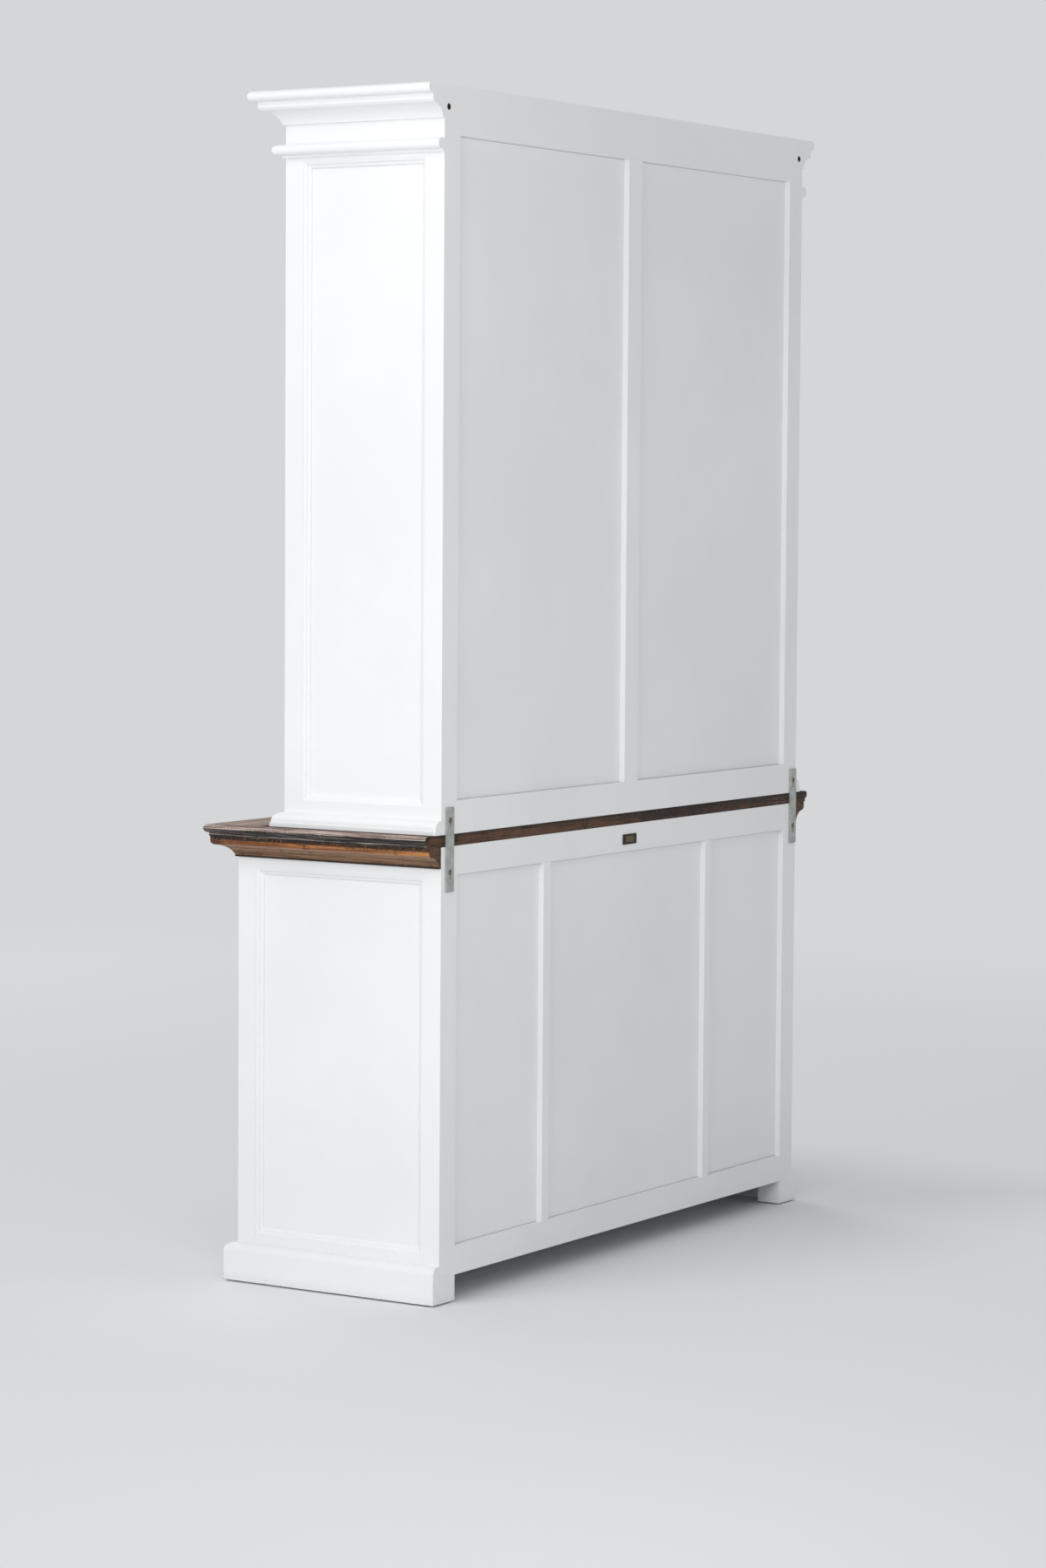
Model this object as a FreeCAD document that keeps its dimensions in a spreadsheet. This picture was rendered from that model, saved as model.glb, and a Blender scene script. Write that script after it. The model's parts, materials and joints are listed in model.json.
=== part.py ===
import FreeCAD, Part
import math
import os
import re
import Sketcher
from FreeCAD import Placement, Rotation, Vector

# A two-part painted kitchen hutch: a shallow glazed cabinet on the worktop of a deeper base.
# Millimetres. X runs to the right seen from the front, Y to the back, Z up from the floor.
# The origin is on the floor under the middle of the whole piece.

sizes = {
    # Whole piece
    "total_height": 2200,
    "body_width": 1340,
    "base_depth": 450,
    "hutch_depth": 346,
    "worktop_height": 858,
    "side_overhang": 51,
    "front_overhang": 45,

    # Corner posts and the frames between them
    "post_width": 52,
    "post_depth": 40,
    "side_rail_thick": 24,
    "back_frame_thick": 18,
    "face_frame_thick": 22,
    "board_thick": 18,

    # Recessed panels in the sides and the back
    "panel_thick": 6,
    "side_panel_recess": 11,
    "back_panel_recess": 12,
    "groove_depth": 8,
    "groove_play": 0.1,
    "running_gap": 0.3,
    "overrun": 5,

    # Feet
    "glide_width": 28,
    "glide_thick": 3,
    "foot_block_height": 47,
    "foot_block_depth": 50,

    # Base rails, muntins and mullions
    "base_side_bottom_rail": 41,
    "base_bottom_rail": 53,
    "base_top_rail": 59,
    "base_back_top_rail": 53,
    "partition_offset": 306,
    "base_muntin_width": 25,
    "mullion_width": 40,
    "drawer_rail": 30,
    "drawer_opening": 130,

    # Hutch rails, muntin and centre stile
    "hutch_bottom_rail": 50,
    "hutch_top_rail": 128,
    "hutch_back_bottom_rail": 60,
    "hutch_back_top_rail": 88.5,
    "hutch_muntin_width": 50,
    "centre_stile_width": 45,

    # Shelves
    "base_shelf_rise": 245,
    "hutch_lower_shelf_rise": 390,
    "hutch_upper_shelf_rise": 780,
    "shelf_setback": 12,
    "shelf_play": 0.5,
    "cleat_width": 16,
    "cleat_height": 20,

    # Worktop edge: a half-round nose over a small step
    "worktop_thick": 22,
    "nose_height": 15,
    "nose_reach": 8,

    # Worktop moulding: a thumb over a cove
    "thumb_reach": 38,
    "thumb_height": 39,
    "thumb_radius": 8,
    "thumb_rise": 22,
    "thumb_foot_reach": 5,
    "thumb_foot_rise": 4,
    "thumb_cove_reach": 29,
    "thumb_cove_radius": 30,

    # Crown moulding: a round nose over a fascia and a cove
    "crown_reach": 51,
    "crown_height": 60,
    "crown_nose_radius": 9.5,
    "crown_fascia_reach": 37,
    "crown_fascia_rise": 30,
    "crown_cove_reach": 33,
    "crown_cove_rise": 25.5,
    "crown_cove_radius": 35,
    "crown_foot_reach": 5,
    "crown_foot_rise": 3,

    # Neck moulding: a bead over a fillet
    "neck_drop": 120,
    "neck_fillet": 5,
    "neck_radius": 9.5,

    # Foot moulding of the hutch: a stepped ovolo
    "ovolo_reach": 20,
    "ovolo_lip": 8,
    "ovolo_step": 2,
    "ovolo_radius": 16,

    # Plinth with a rounded top edge
    "plinth_thick": 20,
    "plinth_height": 69,
    "plinth_radius": 14,

    # Reeded bead round the side panels and bevelled bead round the door panels
    "reed_width": 12,
    "reed_height": 9.5,
    "reed_foot": 0.5,
    "reed_radius": 5.5,
    "door_bead_width": 10,
    "door_bead_height": 8,
    "door_bead_foot": 1.5,
    "door_bead_flat": 2,

    # Doors
    "door_gap": 2.4,
    "door_stile": 50,
    "door_top_rail": 55,
    "door_bottom_rail": 70,
    "door_panel_thick": 7,
    "door_panel_recess": 9,
    "glass_thick": 4,

    # Butt hinges: a leaf with the barrel on the frame, a flat leaf on the door's edge
    "barrel_radius": 4.5,
    "hinge_height": 60,
    "leaf_thick": 1.1,
    "leaf_depth": 18,
    "hutch_hinge_inset": 100,
    "base_hinge_inset": 50,

    # Eight-sided knobs
    "knob_neck_radius": 8,
    "knob_neck_length": 14,
    "knob_head_radius": 15,
    "knob_head_length": 12,
    "knob_chamfer": 4,
    "hutch_knob_rise": 400,
    "base_knob_drop": 60,
    "drawer_knob_spread": 150,

    # Door catches
    "catch_width": 30,
    "catch_depth": 12,
    "catch_height": 16,
    "catch_lap": 6,
    "catch_inset": 6,

    # Drawers
    "drawer_front_thick": 20,
    "drawer_front_chamfer": 3,
    "drawer_side_gap": 2,
    "drawer_side_thick": 12,
    "drawer_side_height": 108,
    "drawer_length": 370,
    "drawer_bottom_thick": 6,
    "drawer_bottom_rise": 8,
    "drawer_groove": 6,
    "drawer_back_drop": 8,
    "runner_ledge": 20,
    "runner_guide": 15,

    # Joining plates across the two cabinets, with keyholes
    "plate_width": 25,
    "plate_height": 154,
    "plate_thick": 3.5,
    "plate_corner": 3,
    "plate_above_joint": 49.5,
    "plate_inset_right": 13,
    "plate_inset_left": 3,
    "keyhole_radius": 5.5,
    "keyhole_slot_radius": 2.3,
    "keyhole_slot_drop": 14,
    "keyhole_drop": 24,
    "keyhole_spacing": 94,

    # Screw heads in the keyholes
    "screw_head_radius": 4.3,
    "screw_head_height": 2.6,

    # Wall fixing eyelets in the rear posts
    "eyelet_inset": 14,
    "eyelet_drop": 40,
    "eyelet_radius": 6,
    "eyelet_bore_radius": 3.2,

    # Badge on the base's back
    "badge_width": 51,
    "badge_height": 20,
    "badge_thick": 1.5,
    "badge_offset": 5,
    "badge_drop": 29.5,
}

# Counts and shares
reed_count = 2
knob_sides = 8
nose_round_share = 0.49

# Planes and levels that several pieces share
worked_out = {
    "half_width": "body_width / 2",
    "back": "(base_depth + front_overhang) / 2",
    "base_front": "back - base_depth",
    "hutch_front": "back - hutch_depth",
    "post_face": "half_width - post_width",
    "side_inner": "half_width - side_rail_thick",
    "side_panel_outer": "half_width - side_panel_recess",
    "back_inner": "back - back_frame_thick",
    "back_panel_outer": "back - back_panel_recess",
    "base_inner_front": "base_front + face_frame_thick",
    "hutch_inner_front": "hutch_front + face_frame_thick",
    "rear_post_front": "back - post_depth",

    "frame_bottom": "glide_thick + foot_block_height",
    "base_floor_top": "frame_bottom + base_bottom_rail",
    "worktop_under": "worktop_height - worktop_thick",
    "drawer_top": "worktop_under - base_top_rail",
    "drawer_bottom": "drawer_top - drawer_opening",
    "base_door_top": "drawer_bottom - drawer_rail",
    "hutch_floor_top": "worktop_height + hutch_bottom_rail",
    "hutch_door_top": "total_height - hutch_top_rail",
    "hutch_roof": "total_height - hutch_back_top_rail",

    "half_board": "board_thick / 2",
    "half_centre_stile": "centre_stile_width / 2",
    "mullion_inner": "partition_offset - mullion_width / 2",
    "mullion_outer": "partition_offset + mullion_width / 2",
    "partition_inner": "partition_offset - half_board",
    "partition_outer": "partition_offset + half_board",
    "base_shelf_under": "base_floor_top + base_shelf_rise",
    "hutch_lower_shelf_under": "hutch_floor_top + hutch_lower_shelf_rise",
    "hutch_upper_shelf_under": "hutch_floor_top + hutch_upper_shelf_rise",

    "door_thick": "face_frame_thick - running_gap",
    "hutch_door_height": "hutch_door_top - hutch_floor_top - 2 * door_gap",
    "hutch_door_width": "(post_face - half_centre_stile - 3 * door_gap) / 2",
    "base_door_height": "base_door_top - base_floor_top - 2 * door_gap",
    "base_outer_door_width": "post_face - mullion_outer - 2 * door_gap",
    "base_inner_door_width": "(2 * mullion_inner - 3 * door_gap) / 2",
    "hinge_stand": "barrel_radius + running_gap",

    "outer_drawer_opening": "post_face - mullion_outer",
    "middle_drawer_opening": "2 * mullion_inner",
    "plate_top": "worktop_height + plate_above_joint",
    "right_plate_centre": "half_width - plate_inset_right - plate_width / 2",
    "left_plate_centre": "plate_inset_left + plate_width / 2 - half_width",
    "upper_screw_height": "plate_top - keyhole_drop",
    "lower_screw_height": "plate_top - keyhole_drop - keyhole_spacing",
    "eyelet_offset": "half_width - eyelet_inset",
    "eyelet_height": "total_height - eyelet_drop",
    "badge_centre_height": "worktop_under - badge_drop",
}

document = FreeCAD.newDocument("kitchen_hutch")
sheet = document.addObject("Spreadsheet::Sheet", "sizes")
for row, (word, size) in enumerate(sizes.items(), 1):
    sheet.set("A%d" % row, word)
    sheet.set("B%d" % row, str(size))
    sheet.setAlias("B%d" % row, word)
document.recompute()

nodes = []
cutting_steps = []


# Turns words for sizes and planes into references to the sheet.
def formula(text):
    def reference(match):
        word = match.group(0)
        if word in worked_out:
            return "(" + formula(worked_out[word]) + ")"
        return "sizes." + word

    return re.sub(r"[a-z][a-z_]*", reference, text)


# The present value of a formula, for first positions in a sketch and for picking edges.
def amount(text):
    return float(sheet.evalExpression(formula(text)))


def bind(piece, prop, text):
    piece.setExpression(prop, formula(text))


def move(piece, place):
    for axis, text in zip("xyz", place):
        bind(piece, "Placement.Base." + axis, text)


# A square-edged piece between two planes in each direction.
def board(name, across, along, up):
    piece = document.addObject("Part::Box", name)
    for prop, (low, high) in zip(("Length", "Width", "Height"), (across, along, up)):
        bind(piece, prop, "(%s) - (%s)" % (high, low))
    move(piece, (across[0], along[0], up[0]))
    return piece


def grown(span, play):
    return ("%s - %s" % (span[0], play), "%s + %s" % (span[1], play))


# A span measured from the middle outwards, on the right (1) or mirrored to the left (-1).
def sided(sign, inner, outer):
    if sign > 0:
        return (inner, outer)
    return ("-(%s)" % outer, "-(%s)" % inner)


def cut(name, base, *tools):
    for tool in tools:
        piece = document.addObject("Part::Cut", name + "_cut")
        piece.Base = base
        piece.Tool = tool
        base = piece
    return base


def fuse(name, *parts):
    piece = document.addObject("Part::MultiFuse", name)
    piece.Shapes = list(parts)
    return piece


def gather(name, parts):
    piece = document.addObject("Part::Compound", name)
    piece.Links = list(parts)
    return piece


# Finished pieces that share a name.
def node(label, *pieces):
    group = gather(label, pieces)
    group.Label = label
    nodes.append(group)


# One more copy of a piece, moved to its place.
def copy_at(name, source, place, turn=None):
    link = document.addObject("App::Link", name)
    link.LinkedObject = source
    if turn:
        link.Placement = Placement(Vector(), turn)
    move(link, place)
    return link


def mirrored(name, source):
    piece = document.addObject("Part::Mirroring", name)
    piece.Source = source
    piece.Normal = Vector(1, 0, 0)
    return piece


def plane_of(body, role):
    return next(item for item in body.Origin.OriginFeatures if item.Role == role)


# An arc from start to end, turning left or right round its centre, less than half a circle.
def arc_between(start, end, radius, turn):
    if turn == "right":
        start, end = end, start
    chord = end - start
    side = Vector(-chord.y, chord.x, 0).normalize()
    height = math.sqrt(max(radius ** 2 - (chord.Length / 2) ** 2, 0))
    centre = start + chord * 0.5 + side * height
    first = math.atan2(start.y - centre.y, start.x - centre.x)
    last = math.atan2(end.y - centre.y, end.x - centre.x)
    if last < first:
        last += 2 * math.pi
    return Part.ArcOfCircle(Part.Circle(centre, Vector(0, 0, 1), radius), first, last)


# Ties one end of an edge to a formula along one axis of the sketch.
def hold(sketch, edge, end, kind, axis_line, text):
    value = amount(text)
    if value == 0:
        sketch.addConstraint(Sketcher.Constraint("PointOnObject", edge, end, axis_line))
        return
    if value > 0:
        index = sketch.addConstraint(Sketcher.Constraint(kind, -1, 1, edge, end, value))
        sketch.setExpression("Constraints[%d]" % index, formula(text))
        return
    index = sketch.addConstraint(Sketcher.Constraint(kind, edge, end, -1, 1, -value))
    sketch.setExpression("Constraints[%d]" % index, formula("-(%s)" % text))


# A closed outline. A corner is (x, y), or (x, y, radius, turn) when an arc leaves it.
def draw(sketch, corners):
    flat = [Vector(amount(corner[0]), amount(corner[1]), 0) for corner in corners]
    count = len(corners)
    ends = []
    for number, corner in enumerate(corners):
        start, end = flat[number], flat[(number + 1) % count]
        if len(corner) == 2:
            sketch.addGeometry(Part.LineSegment(start, end), False)
            ends.append((1, 2))
        else:
            sketch.addGeometry(arc_between(start, end, amount(corner[2]), corner[3]), False)
            ends.append((1, 2) if corner[3] == "left" else (2, 1))
    for number, corner in enumerate(corners):
        follower = (number + 1) % count
        sketch.addConstraint(Sketcher.Constraint(
            "Coincident", number, ends[number][1], follower, ends[follower][0]))
        hold(sketch, number, ends[number][0], "DistanceX", -2, corner[0])
        hold(sketch, number, ends[number][0], "DistanceY", -1, corner[1])
        if len(corner) > 2:
            index = sketch.addConstraint(Sketcher.Constraint("Radius", number, amount(corner[2])))
            sketch.setExpression("Constraints[%d]" % index, formula(corner[2]))


def sketch_on(body, role, corners):
    sketch = body.newObject("Sketcher::SketchObject", body.Name + "_sketch")
    sketch.AttachmentSupport = [(plane_of(body, role), "")]
    sketch.MapMode = "FlatFace"
    draw(sketch, corners)
    return sketch


# A run of moulding: outline in X (outwards) and Z (up), running along Y from 0 to its length.
# A mitred end goes on past the carcass corner and is cut at 45 degrees.
def moulding(name, outline, reach, length, mitred_start, mitred_end):
    body = document.addObject("PartDesign::Body", name)
    sketch = sketch_on(body, "XZ_Plane", outline)
    start = "-(%s)" % reach if mitred_start else "0"
    end = "%s + %s" % (length, reach) if mitred_end else length
    sketch.setExpression("AttachmentOffset.Base.z", formula("-(%s)" % start))
    pad = body.newObject("PartDesign::Pad", name + "_run")
    pad.Profile = sketch
    pad.Reversed = True
    bind(pad, "Length", "(%s) - (%s)" % (end, start))
    far = "%s + overrun" % reach
    mitres = []
    if mitred_start:
        mitres.append([("-overrun", "overrun"), ("-overrun", "-(%s)" % far), (far, "-(%s)" % far)])
    if mitred_end:
        edge = "%s + %s" % (length, far)
        mitres.append([("-overrun", "%s - overrun" % length), (far, edge), ("-overrun", edge)])
    for corners in mitres:
        before = body.Tip
        pocket = body.newObject("PartDesign::Pocket", name + "_mitre")
        pocket.Profile = sketch_on(body, "XY_Plane", corners)
        pocket.Type = "ThroughAll"
        pocket.SideType = "Symmetric"
        cutting_steps.append((before, pocket))
    return body


# A moulding in three lengths round the front and both sides of a carcass.
def three_sides(label, outline, reach, front, depth, level):
    right = moulding(label + "_right", outline, reach, depth, True, False)
    move(right, ("half_width", front, level))
    left = moulding(label + "_left", outline, reach, depth, False, True)
    left.Placement = Placement(Vector(), Rotation(Vector(0, 0, 1), 180))
    move(left, ("-half_width", "back", level))
    middle = moulding(label + "_front", outline, reach, "body_width", True, True)
    middle.Placement = Placement(Vector(), Rotation(Vector(0, 0, 1), -90))
    move(middle, ("-half_width", front, level))
    node(label, right, left, middle)


def cylinder(name, radius, height, place, turn=None):
    piece = document.addObject("Part::Cylinder", name)
    bind(piece, "Radius", radius)
    bind(piece, "Height", height)
    if turn:
        piece.Placement = Placement(Vector(), turn)
    move(piece, place)
    return piece


facing_back = Rotation(Vector(1, 0, 0), -90)
facing_front = Rotation(Vector(1, 0, 0), 90)

# Bead strips are set into a frame's opening and mitred in its corners.
# Each outline is drawn once: X runs from the frame's edge inwards, Z away from the panel.
reeds = [("0", "0"), ("reed_width", "0")]
for reed in range(reed_count, 0, -1):
    rise = "(reed_height - reed_foot) * %d / %d" % (reed_count - reed, reed_count)
    reeds.append(("reed_width * %d / %d" % (reed, reed_count), "reed_foot + " + rise, "reed_radius", "left"))
reeds.append(("0", "reed_height"))
door_bevel = [
    ("0", "0"),
    ("door_bead_width", "0"),
    ("door_bead_width", "door_bead_foot"),
    ("door_bead_flat", "door_bead_height"),
    ("0", "door_bead_height"),
]
bead_outlines = {}
for word, outline, bead_width in (("reeds", reeds, "reed_width"), ("bevel", door_bevel, "door_bead_width")):
    outline_sketch = document.addObject("Sketcher::SketchObject", word + "_outline")
    draw(outline_sketch, outline)
    outline_sketch.Placement = Placement(Vector(), Rotation(Vector(1, 0, 0), 90))
    bead_outlines[word] = (outline_sketch, bead_width)
bead_lengths = {}


# A square block standing on its corner, which takes a 45 degree mitre off a bead strip.
def mitre_block(name, bead_width, along):
    block = document.addObject("Part::Box", name)
    for prop in ("Length", "Width"):
        bind(block, prop, "%s + 2 * overrun" % bead_width)
    bind(block, "Height", "2 * (%s + overrun)" % bead_width)
    block.Placement = Placement(Vector(), Rotation(Vector(0, 0, 1), -45))
    move(block, ("0", along, "-overrun"))
    return block


# Strips of one length share their shape.
def bead_strip(kind, length):
    if (kind, length) not in bead_lengths:
        outline, bead_width = bead_outlines[kind]
        name = "%s_strip_%d" % (kind, len(bead_lengths) + 1)
        run = document.addObject("Part::Extrusion", name + "_run")
        run.Base = outline
        run.DirMode = "Normal"
        run.Reversed = True
        run.Solid = True
        bind(run, "LengthFwd", length)
        blocks = [mitre_block(name + "_mitre", bead_width, along) for along in ("0", length)]
        strip = cut(name, run, *blocks)
        cutting_steps.append((run, strip))
        bead_lengths[(kind, length)] = strip
    return bead_lengths[(kind, length)]


# Four strips round an opening. Outward is the way the panel faces; the opening's corners are
# given along the horizontal that has its low end on the left of someone looking at the panel.
def bead_frame(name, kind, outward, corner, width, height):
    up = Vector(0, 0, 1)
    right = up.cross(outward)
    strips = []
    for word, inward, start, length in (
            ("bottom", up, ("high", "low"), width),
            ("left", right, ("low", "low"), height),
            ("top", up * -1, ("low", "high"), width),
            ("right", right * -1, ("high", "high"), height)):
        turn = Rotation(inward, outward.cross(inward), outward, "ZXY")
        strips.append(copy_at("%s_%s_bead" % (name, word), bead_strip(kind, length), corner(*start), turn))
    return strips


# Posts, rails, recessed panels and beads of a cabinet's two sides.
def side_frames(unit, front, bottom, top, low_rail, high_rail, rear_tools):
    frame_parts = []
    panel_parts = []
    posts = {}
    front_post = (front, "%s + post_depth" % front)
    rear_post = ("rear_post_front", "back")
    opening_y = (front_post[1], rear_post[0])
    opening_z = ("%s + %s" % (bottom, low_rail), "%s - %s" % (top, high_rail))
    width = "(%s) - (%s)" % (opening_y[1], opening_y[0])
    height = "(%s) - (%s)" % (opening_z[1], opening_z[0])
    for side, sign in (("right", 1), ("left", -1)):
        name = "%s_%s" % (unit, side)
        post_x = sided(sign, "post_face", "half_width")
        rail_x = sided(sign, "side_inner", "half_width")
        panel_x = sided(sign, "side_panel_outer - panel_thick", "side_panel_outer")
        panel_y = grown(opening_y, "groove_depth")
        panel_z = grown(opening_z, "groove_depth")
        panel = board(name + "_side_panel", panel_x, panel_y, panel_z)
        housing = board(name + "_side_groove", grown(panel_x, "groove_play"),
                        grown(panel_y, "groove_play"), grown(panel_z, "groove_play"))
        posts[side, "front"] = board(name + "_front_post", post_x, front_post, (bottom, top))
        posts[side, "rear"] = board(name + "_rear_post", post_x, rear_post, (bottom, top))
        low = board(name + "_bottom_rail", rail_x, opening_y, (bottom, opening_z[0]))
        high = board(name + "_top_rail", rail_x, opening_y, (opening_z[1], top))
        frame_parts += [
            cut(name + "_front_post", posts[side, "front"], housing),
            cut(name + "_rear_post", posts[side, "rear"], housing, *rear_tools[side]),
            cut(name + "_bottom_rail", low, housing),
            cut(name + "_top_rail", high, housing),
        ]
        level = "side_panel_outer" if sign > 0 else "-side_panel_outer"
        spans = {"low": opening_y[0], "high": opening_y[1]}
        if sign < 0:
            spans = {"low": opening_y[1], "high": opening_y[0]}
        heights = {"low": opening_z[0], "high": opening_z[1]}

        def corner(along, up, level=level, spans=spans, heights=heights):
            return (level, spans[along], heights[up])

        panel_parts.append(panel)
        panel_parts += bead_frame(name, "reeds", Vector(sign, 0, 0), corner, width, height)
    node(unit + "_side_frames", *frame_parts)
    node(unit + "_side_panels", *panel_parts)
    return posts


# Recessed panels of a cabinet's back between posts and muntins, with the rebates that take them.
def back_panels(unit, bays, low, high):
    panels = []
    housings = []
    along = ("back_panel_outer - panel_thick", "back_panel_outer")
    up = grown((low, high), "groove_depth")
    for number, bay in enumerate(bays, 1):
        across = grown(bay, "groove_depth")
        panels.append(board("%s_back_panel_%d" % (unit, number), across, along, up))
        housings.append(board("%s_back_rebate_%d" % (unit, number), grown(across, "groove_play"),
                              grown(along, "groove_play"), grown(up, "groove_play")))
    node(unit + "_back_panels", *panels)
    return housings


def back_frame(unit, bottom, low, high, top, muntins, muntin_width, housings):
    between = ("-post_face", "post_face")
    thick = ("back_inner", "back")
    parts = [
        cut(unit + "_back_bottom_rail", board(unit + "_back_bottom_rail", between, thick, (bottom, low)),
            *housings),
        cut(unit + "_back_top_rail", board(unit + "_back_top_rail", between, thick, (high, top)), *housings),
    ]
    for number, centre in enumerate(muntins):
        across = ("%s - %s / 2" % (centre, muntin_width), "%s + %s / 2" % (centre, muntin_width))
        muntin = board("%s_muntin_%d" % (unit, number + 1), across, thick, (low, high))
        parts.append(cut(unit + "_muntin", muntin, *housings[number:number + 2]))
    node(unit + "_back_frame", *parts)


# A board that fills a cabinet from side to side and is notched round its posts.
def notched(name, across, along, up, posts):
    return cut(name, board(name + "_board", across, along, up), *posts)


base_bays = [
    ("-post_face", "-partition_offset - base_muntin_width / 2"),
    ("-partition_offset + base_muntin_width / 2", "partition_offset - base_muntin_width / 2"),
    ("partition_offset + base_muntin_width / 2", "post_face"),
]
base_back_low = "base_floor_top"
base_back_high = "worktop_under - base_back_top_rail"
base_housings = back_panels("base", base_bays, base_back_low, base_back_high)
hutch_bays = [("-post_face", "-hutch_muntin_width / 2"), ("hutch_muntin_width / 2", "post_face")]
hutch_back_low = "worktop_height + hutch_back_bottom_rail"
hutch_housings = back_panels("hutch", hutch_bays, hutch_back_low, "hutch_roof")

# Holes in the rear posts for the wall fixing eyelets
eyelet_centres = {"right": "eyelet_offset", "left": "-eyelet_offset"}
eyelet_holes = {}
for side, centre in eyelet_centres.items():
    eyelet_holes[side] = cylinder(
        side + "_eyelet_hole", "eyelet_radius", "post_depth + 2 * overrun",
        (centre, "rear_post_front - overrun", "eyelet_height"), facing_back)

base_posts = side_frames(
    "base", "base_front", "frame_bottom", "worktop_under", "base_side_bottom_rail", "base_top_rail",
    {"right": [base_housings[2]], "left": [base_housings[0]]})
hutch_posts = side_frames(
    "hutch", "hutch_front", "worktop_height", "total_height", "hutch_bottom_rail", "hutch_top_rail",
    {"right": [hutch_housings[1], eyelet_holes["right"]],
     "left": [hutch_housings[0], eyelet_holes["left"]]})
back_frame("base", "frame_bottom", base_back_low, base_back_high, "worktop_under",
           ["-partition_offset", "partition_offset"], "base_muntin_width", base_housings)
back_frame("hutch", "worktop_height", hutch_back_low, "hutch_roof", "total_height",
           ["0"], "hutch_muntin_width", hutch_housings)

# Face frames
between_posts = ("-post_face", "post_face")
base_face = ("base_front", "base_inner_front")
base_face_parts = [
    board("base_face_bottom_rail", between_posts, base_face, ("frame_bottom", "base_floor_top")),
    board("base_face_top_rail", between_posts, base_face, ("drawer_top", "worktop_under")),
    board("drawer_rail_middle", ("-mullion_inner", "mullion_inner"), base_face,
          ("base_door_top", "drawer_bottom")),
]
for side, sign in (("right", 1), ("left", -1)):
    base_face_parts += [
        board("mullion_" + side, sided(sign, "mullion_inner", "mullion_outer"), base_face,
              ("base_floor_top", "drawer_top")),
        board("drawer_rail_" + side, sided(sign, "mullion_outer", "post_face"), base_face,
              ("base_door_top", "drawer_bottom")),
    ]
node("base_face_frame", *base_face_parts)
hutch_face = ("hutch_front", "hutch_inner_front")
node("hutch_face_frame",
     board("hutch_face_bottom_rail", between_posts, hutch_face, ("worktop_height", "hutch_floor_top")),
     board("hutch_face_top_rail", between_posts, hutch_face, ("hutch_door_top", "total_height")),
     board("hutch_centre_stile", ("-half_centre_stile", "half_centre_stile"), hutch_face,
           ("hutch_floor_top", "hutch_door_top")))

# Floors, roof and partitions
between_sides = ("-side_inner", "side_inner")
base_inside = ("base_inner_front", "back_inner")
hutch_inside = ("hutch_inner_front", "back_inner")
node("base_floor", notched("base_floor", between_sides, base_inside,
                           ("base_floor_top - board_thick", "base_floor_top"), base_posts.values()))
node("hutch_floor", notched("hutch_floor", between_sides, hutch_inside,
                            ("hutch_floor_top - board_thick", "hutch_floor_top"), hutch_posts.values()))
node("hutch_top", notched("hutch_top", between_sides, hutch_inside,
                          ("hutch_roof", "hutch_roof + board_thick"), hutch_posts.values()))
base_partition_height = ("base_floor_top", "worktop_under")
node("partitions",
     board("base_partition_right", ("partition_inner", "partition_outer"), base_inside, base_partition_height),
     board("base_partition_left", ("-partition_outer", "-partition_inner"), base_inside, base_partition_height),
     board("hutch_partition", ("-half_board", "half_board"), hutch_inside, ("hutch_floor_top", "hutch_roof")))

# Shelves on cleats. An outer cleat runs between the posts, an inner one on a partition.
shelf_parts = []
cleat_parts = []


def shelf(name, across, front, under, posts):
    along = ("%s + shelf_setback" % front, "back_inner - shelf_play")
    up = (under, "%s + board_thick" % under)
    shelf_parts.append(notched(name, across, along, up, posts))


def cleat(name, across, front, under):
    cleat_parts.append(board(name, across, ("%s + post_depth" % front, "rear_post_front"),
                             ("%s - cleat_height" % under, under)))


# Spaces round the posts, so that a shelf can be lifted out
def post_spaces(unit, front, bottom, top):
    spaces = {}
    for side, sign in (("right", 1), ("left", -1)):
        for end, span in (("front", (front, "%s + post_depth" % front)), ("rear", ("rear_post_front", "back"))):
            spaces[side, end] = board(
                "%s_%s_%s_space" % (unit, side, end), grown(sided(sign, "post_face", "half_width"), "shelf_play"),
                grown(span, "shelf_play"), (bottom, top))
    return spaces


base_spaces = post_spaces("base", "base_front", "frame_bottom", "worktop_under")
hutch_spaces = post_spaces("hutch", "hutch_front", "worktop_height", "total_height")
for side, sign in (("right", 1), ("left", -1)):
    base_space = [base_spaces[side, "front"], base_spaces[side, "rear"]]
    hutch_space = [hutch_spaces[side, "front"], hutch_spaces[side, "rear"]]
    shelf("base_shelf_" + side, sided(sign, "partition_outer + shelf_play", "side_inner - shelf_play"),
          "base_inner_front", "base_shelf_under", base_space)
    cleat("base_outer_cleat_" + side, sided(sign, "side_inner - cleat_width", "side_inner"),
          "base_front", "base_shelf_under")
    cleat("base_partition_cleat_" + side, sided(sign, "partition_outer", "partition_outer + cleat_width"),
          "base_front", "base_shelf_under")
    cleat("base_middle_cleat_" + side, sided(sign, "partition_inner - cleat_width", "partition_inner"),
          "base_front", "base_shelf_under")
    for word in ("lower", "upper"):
        under = "hutch_%s_shelf_under" % word
        shelf("hutch_%s_shelf_%s" % (word, side), sided(sign, "half_board + shelf_play", "side_inner - shelf_play"),
              "hutch_inner_front", under, hutch_space)
        cleat("hutch_%s_outer_cleat_%s" % (word, side), sided(sign, "side_inner - cleat_width", "side_inner"),
              "hutch_front", under)
        cleat("hutch_%s_inner_cleat_%s" % (word, side), sided(sign, "half_board", "half_board + cleat_width"),
              "hutch_front", under)
shelf("base_shelf_middle", ("shelf_play - partition_inner", "partition_inner - shelf_play"),
      "base_inner_front", "base_shelf_under", [])
node("shelves", *shelf_parts)
node("shelf_cleats", *cleat_parts)

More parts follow.
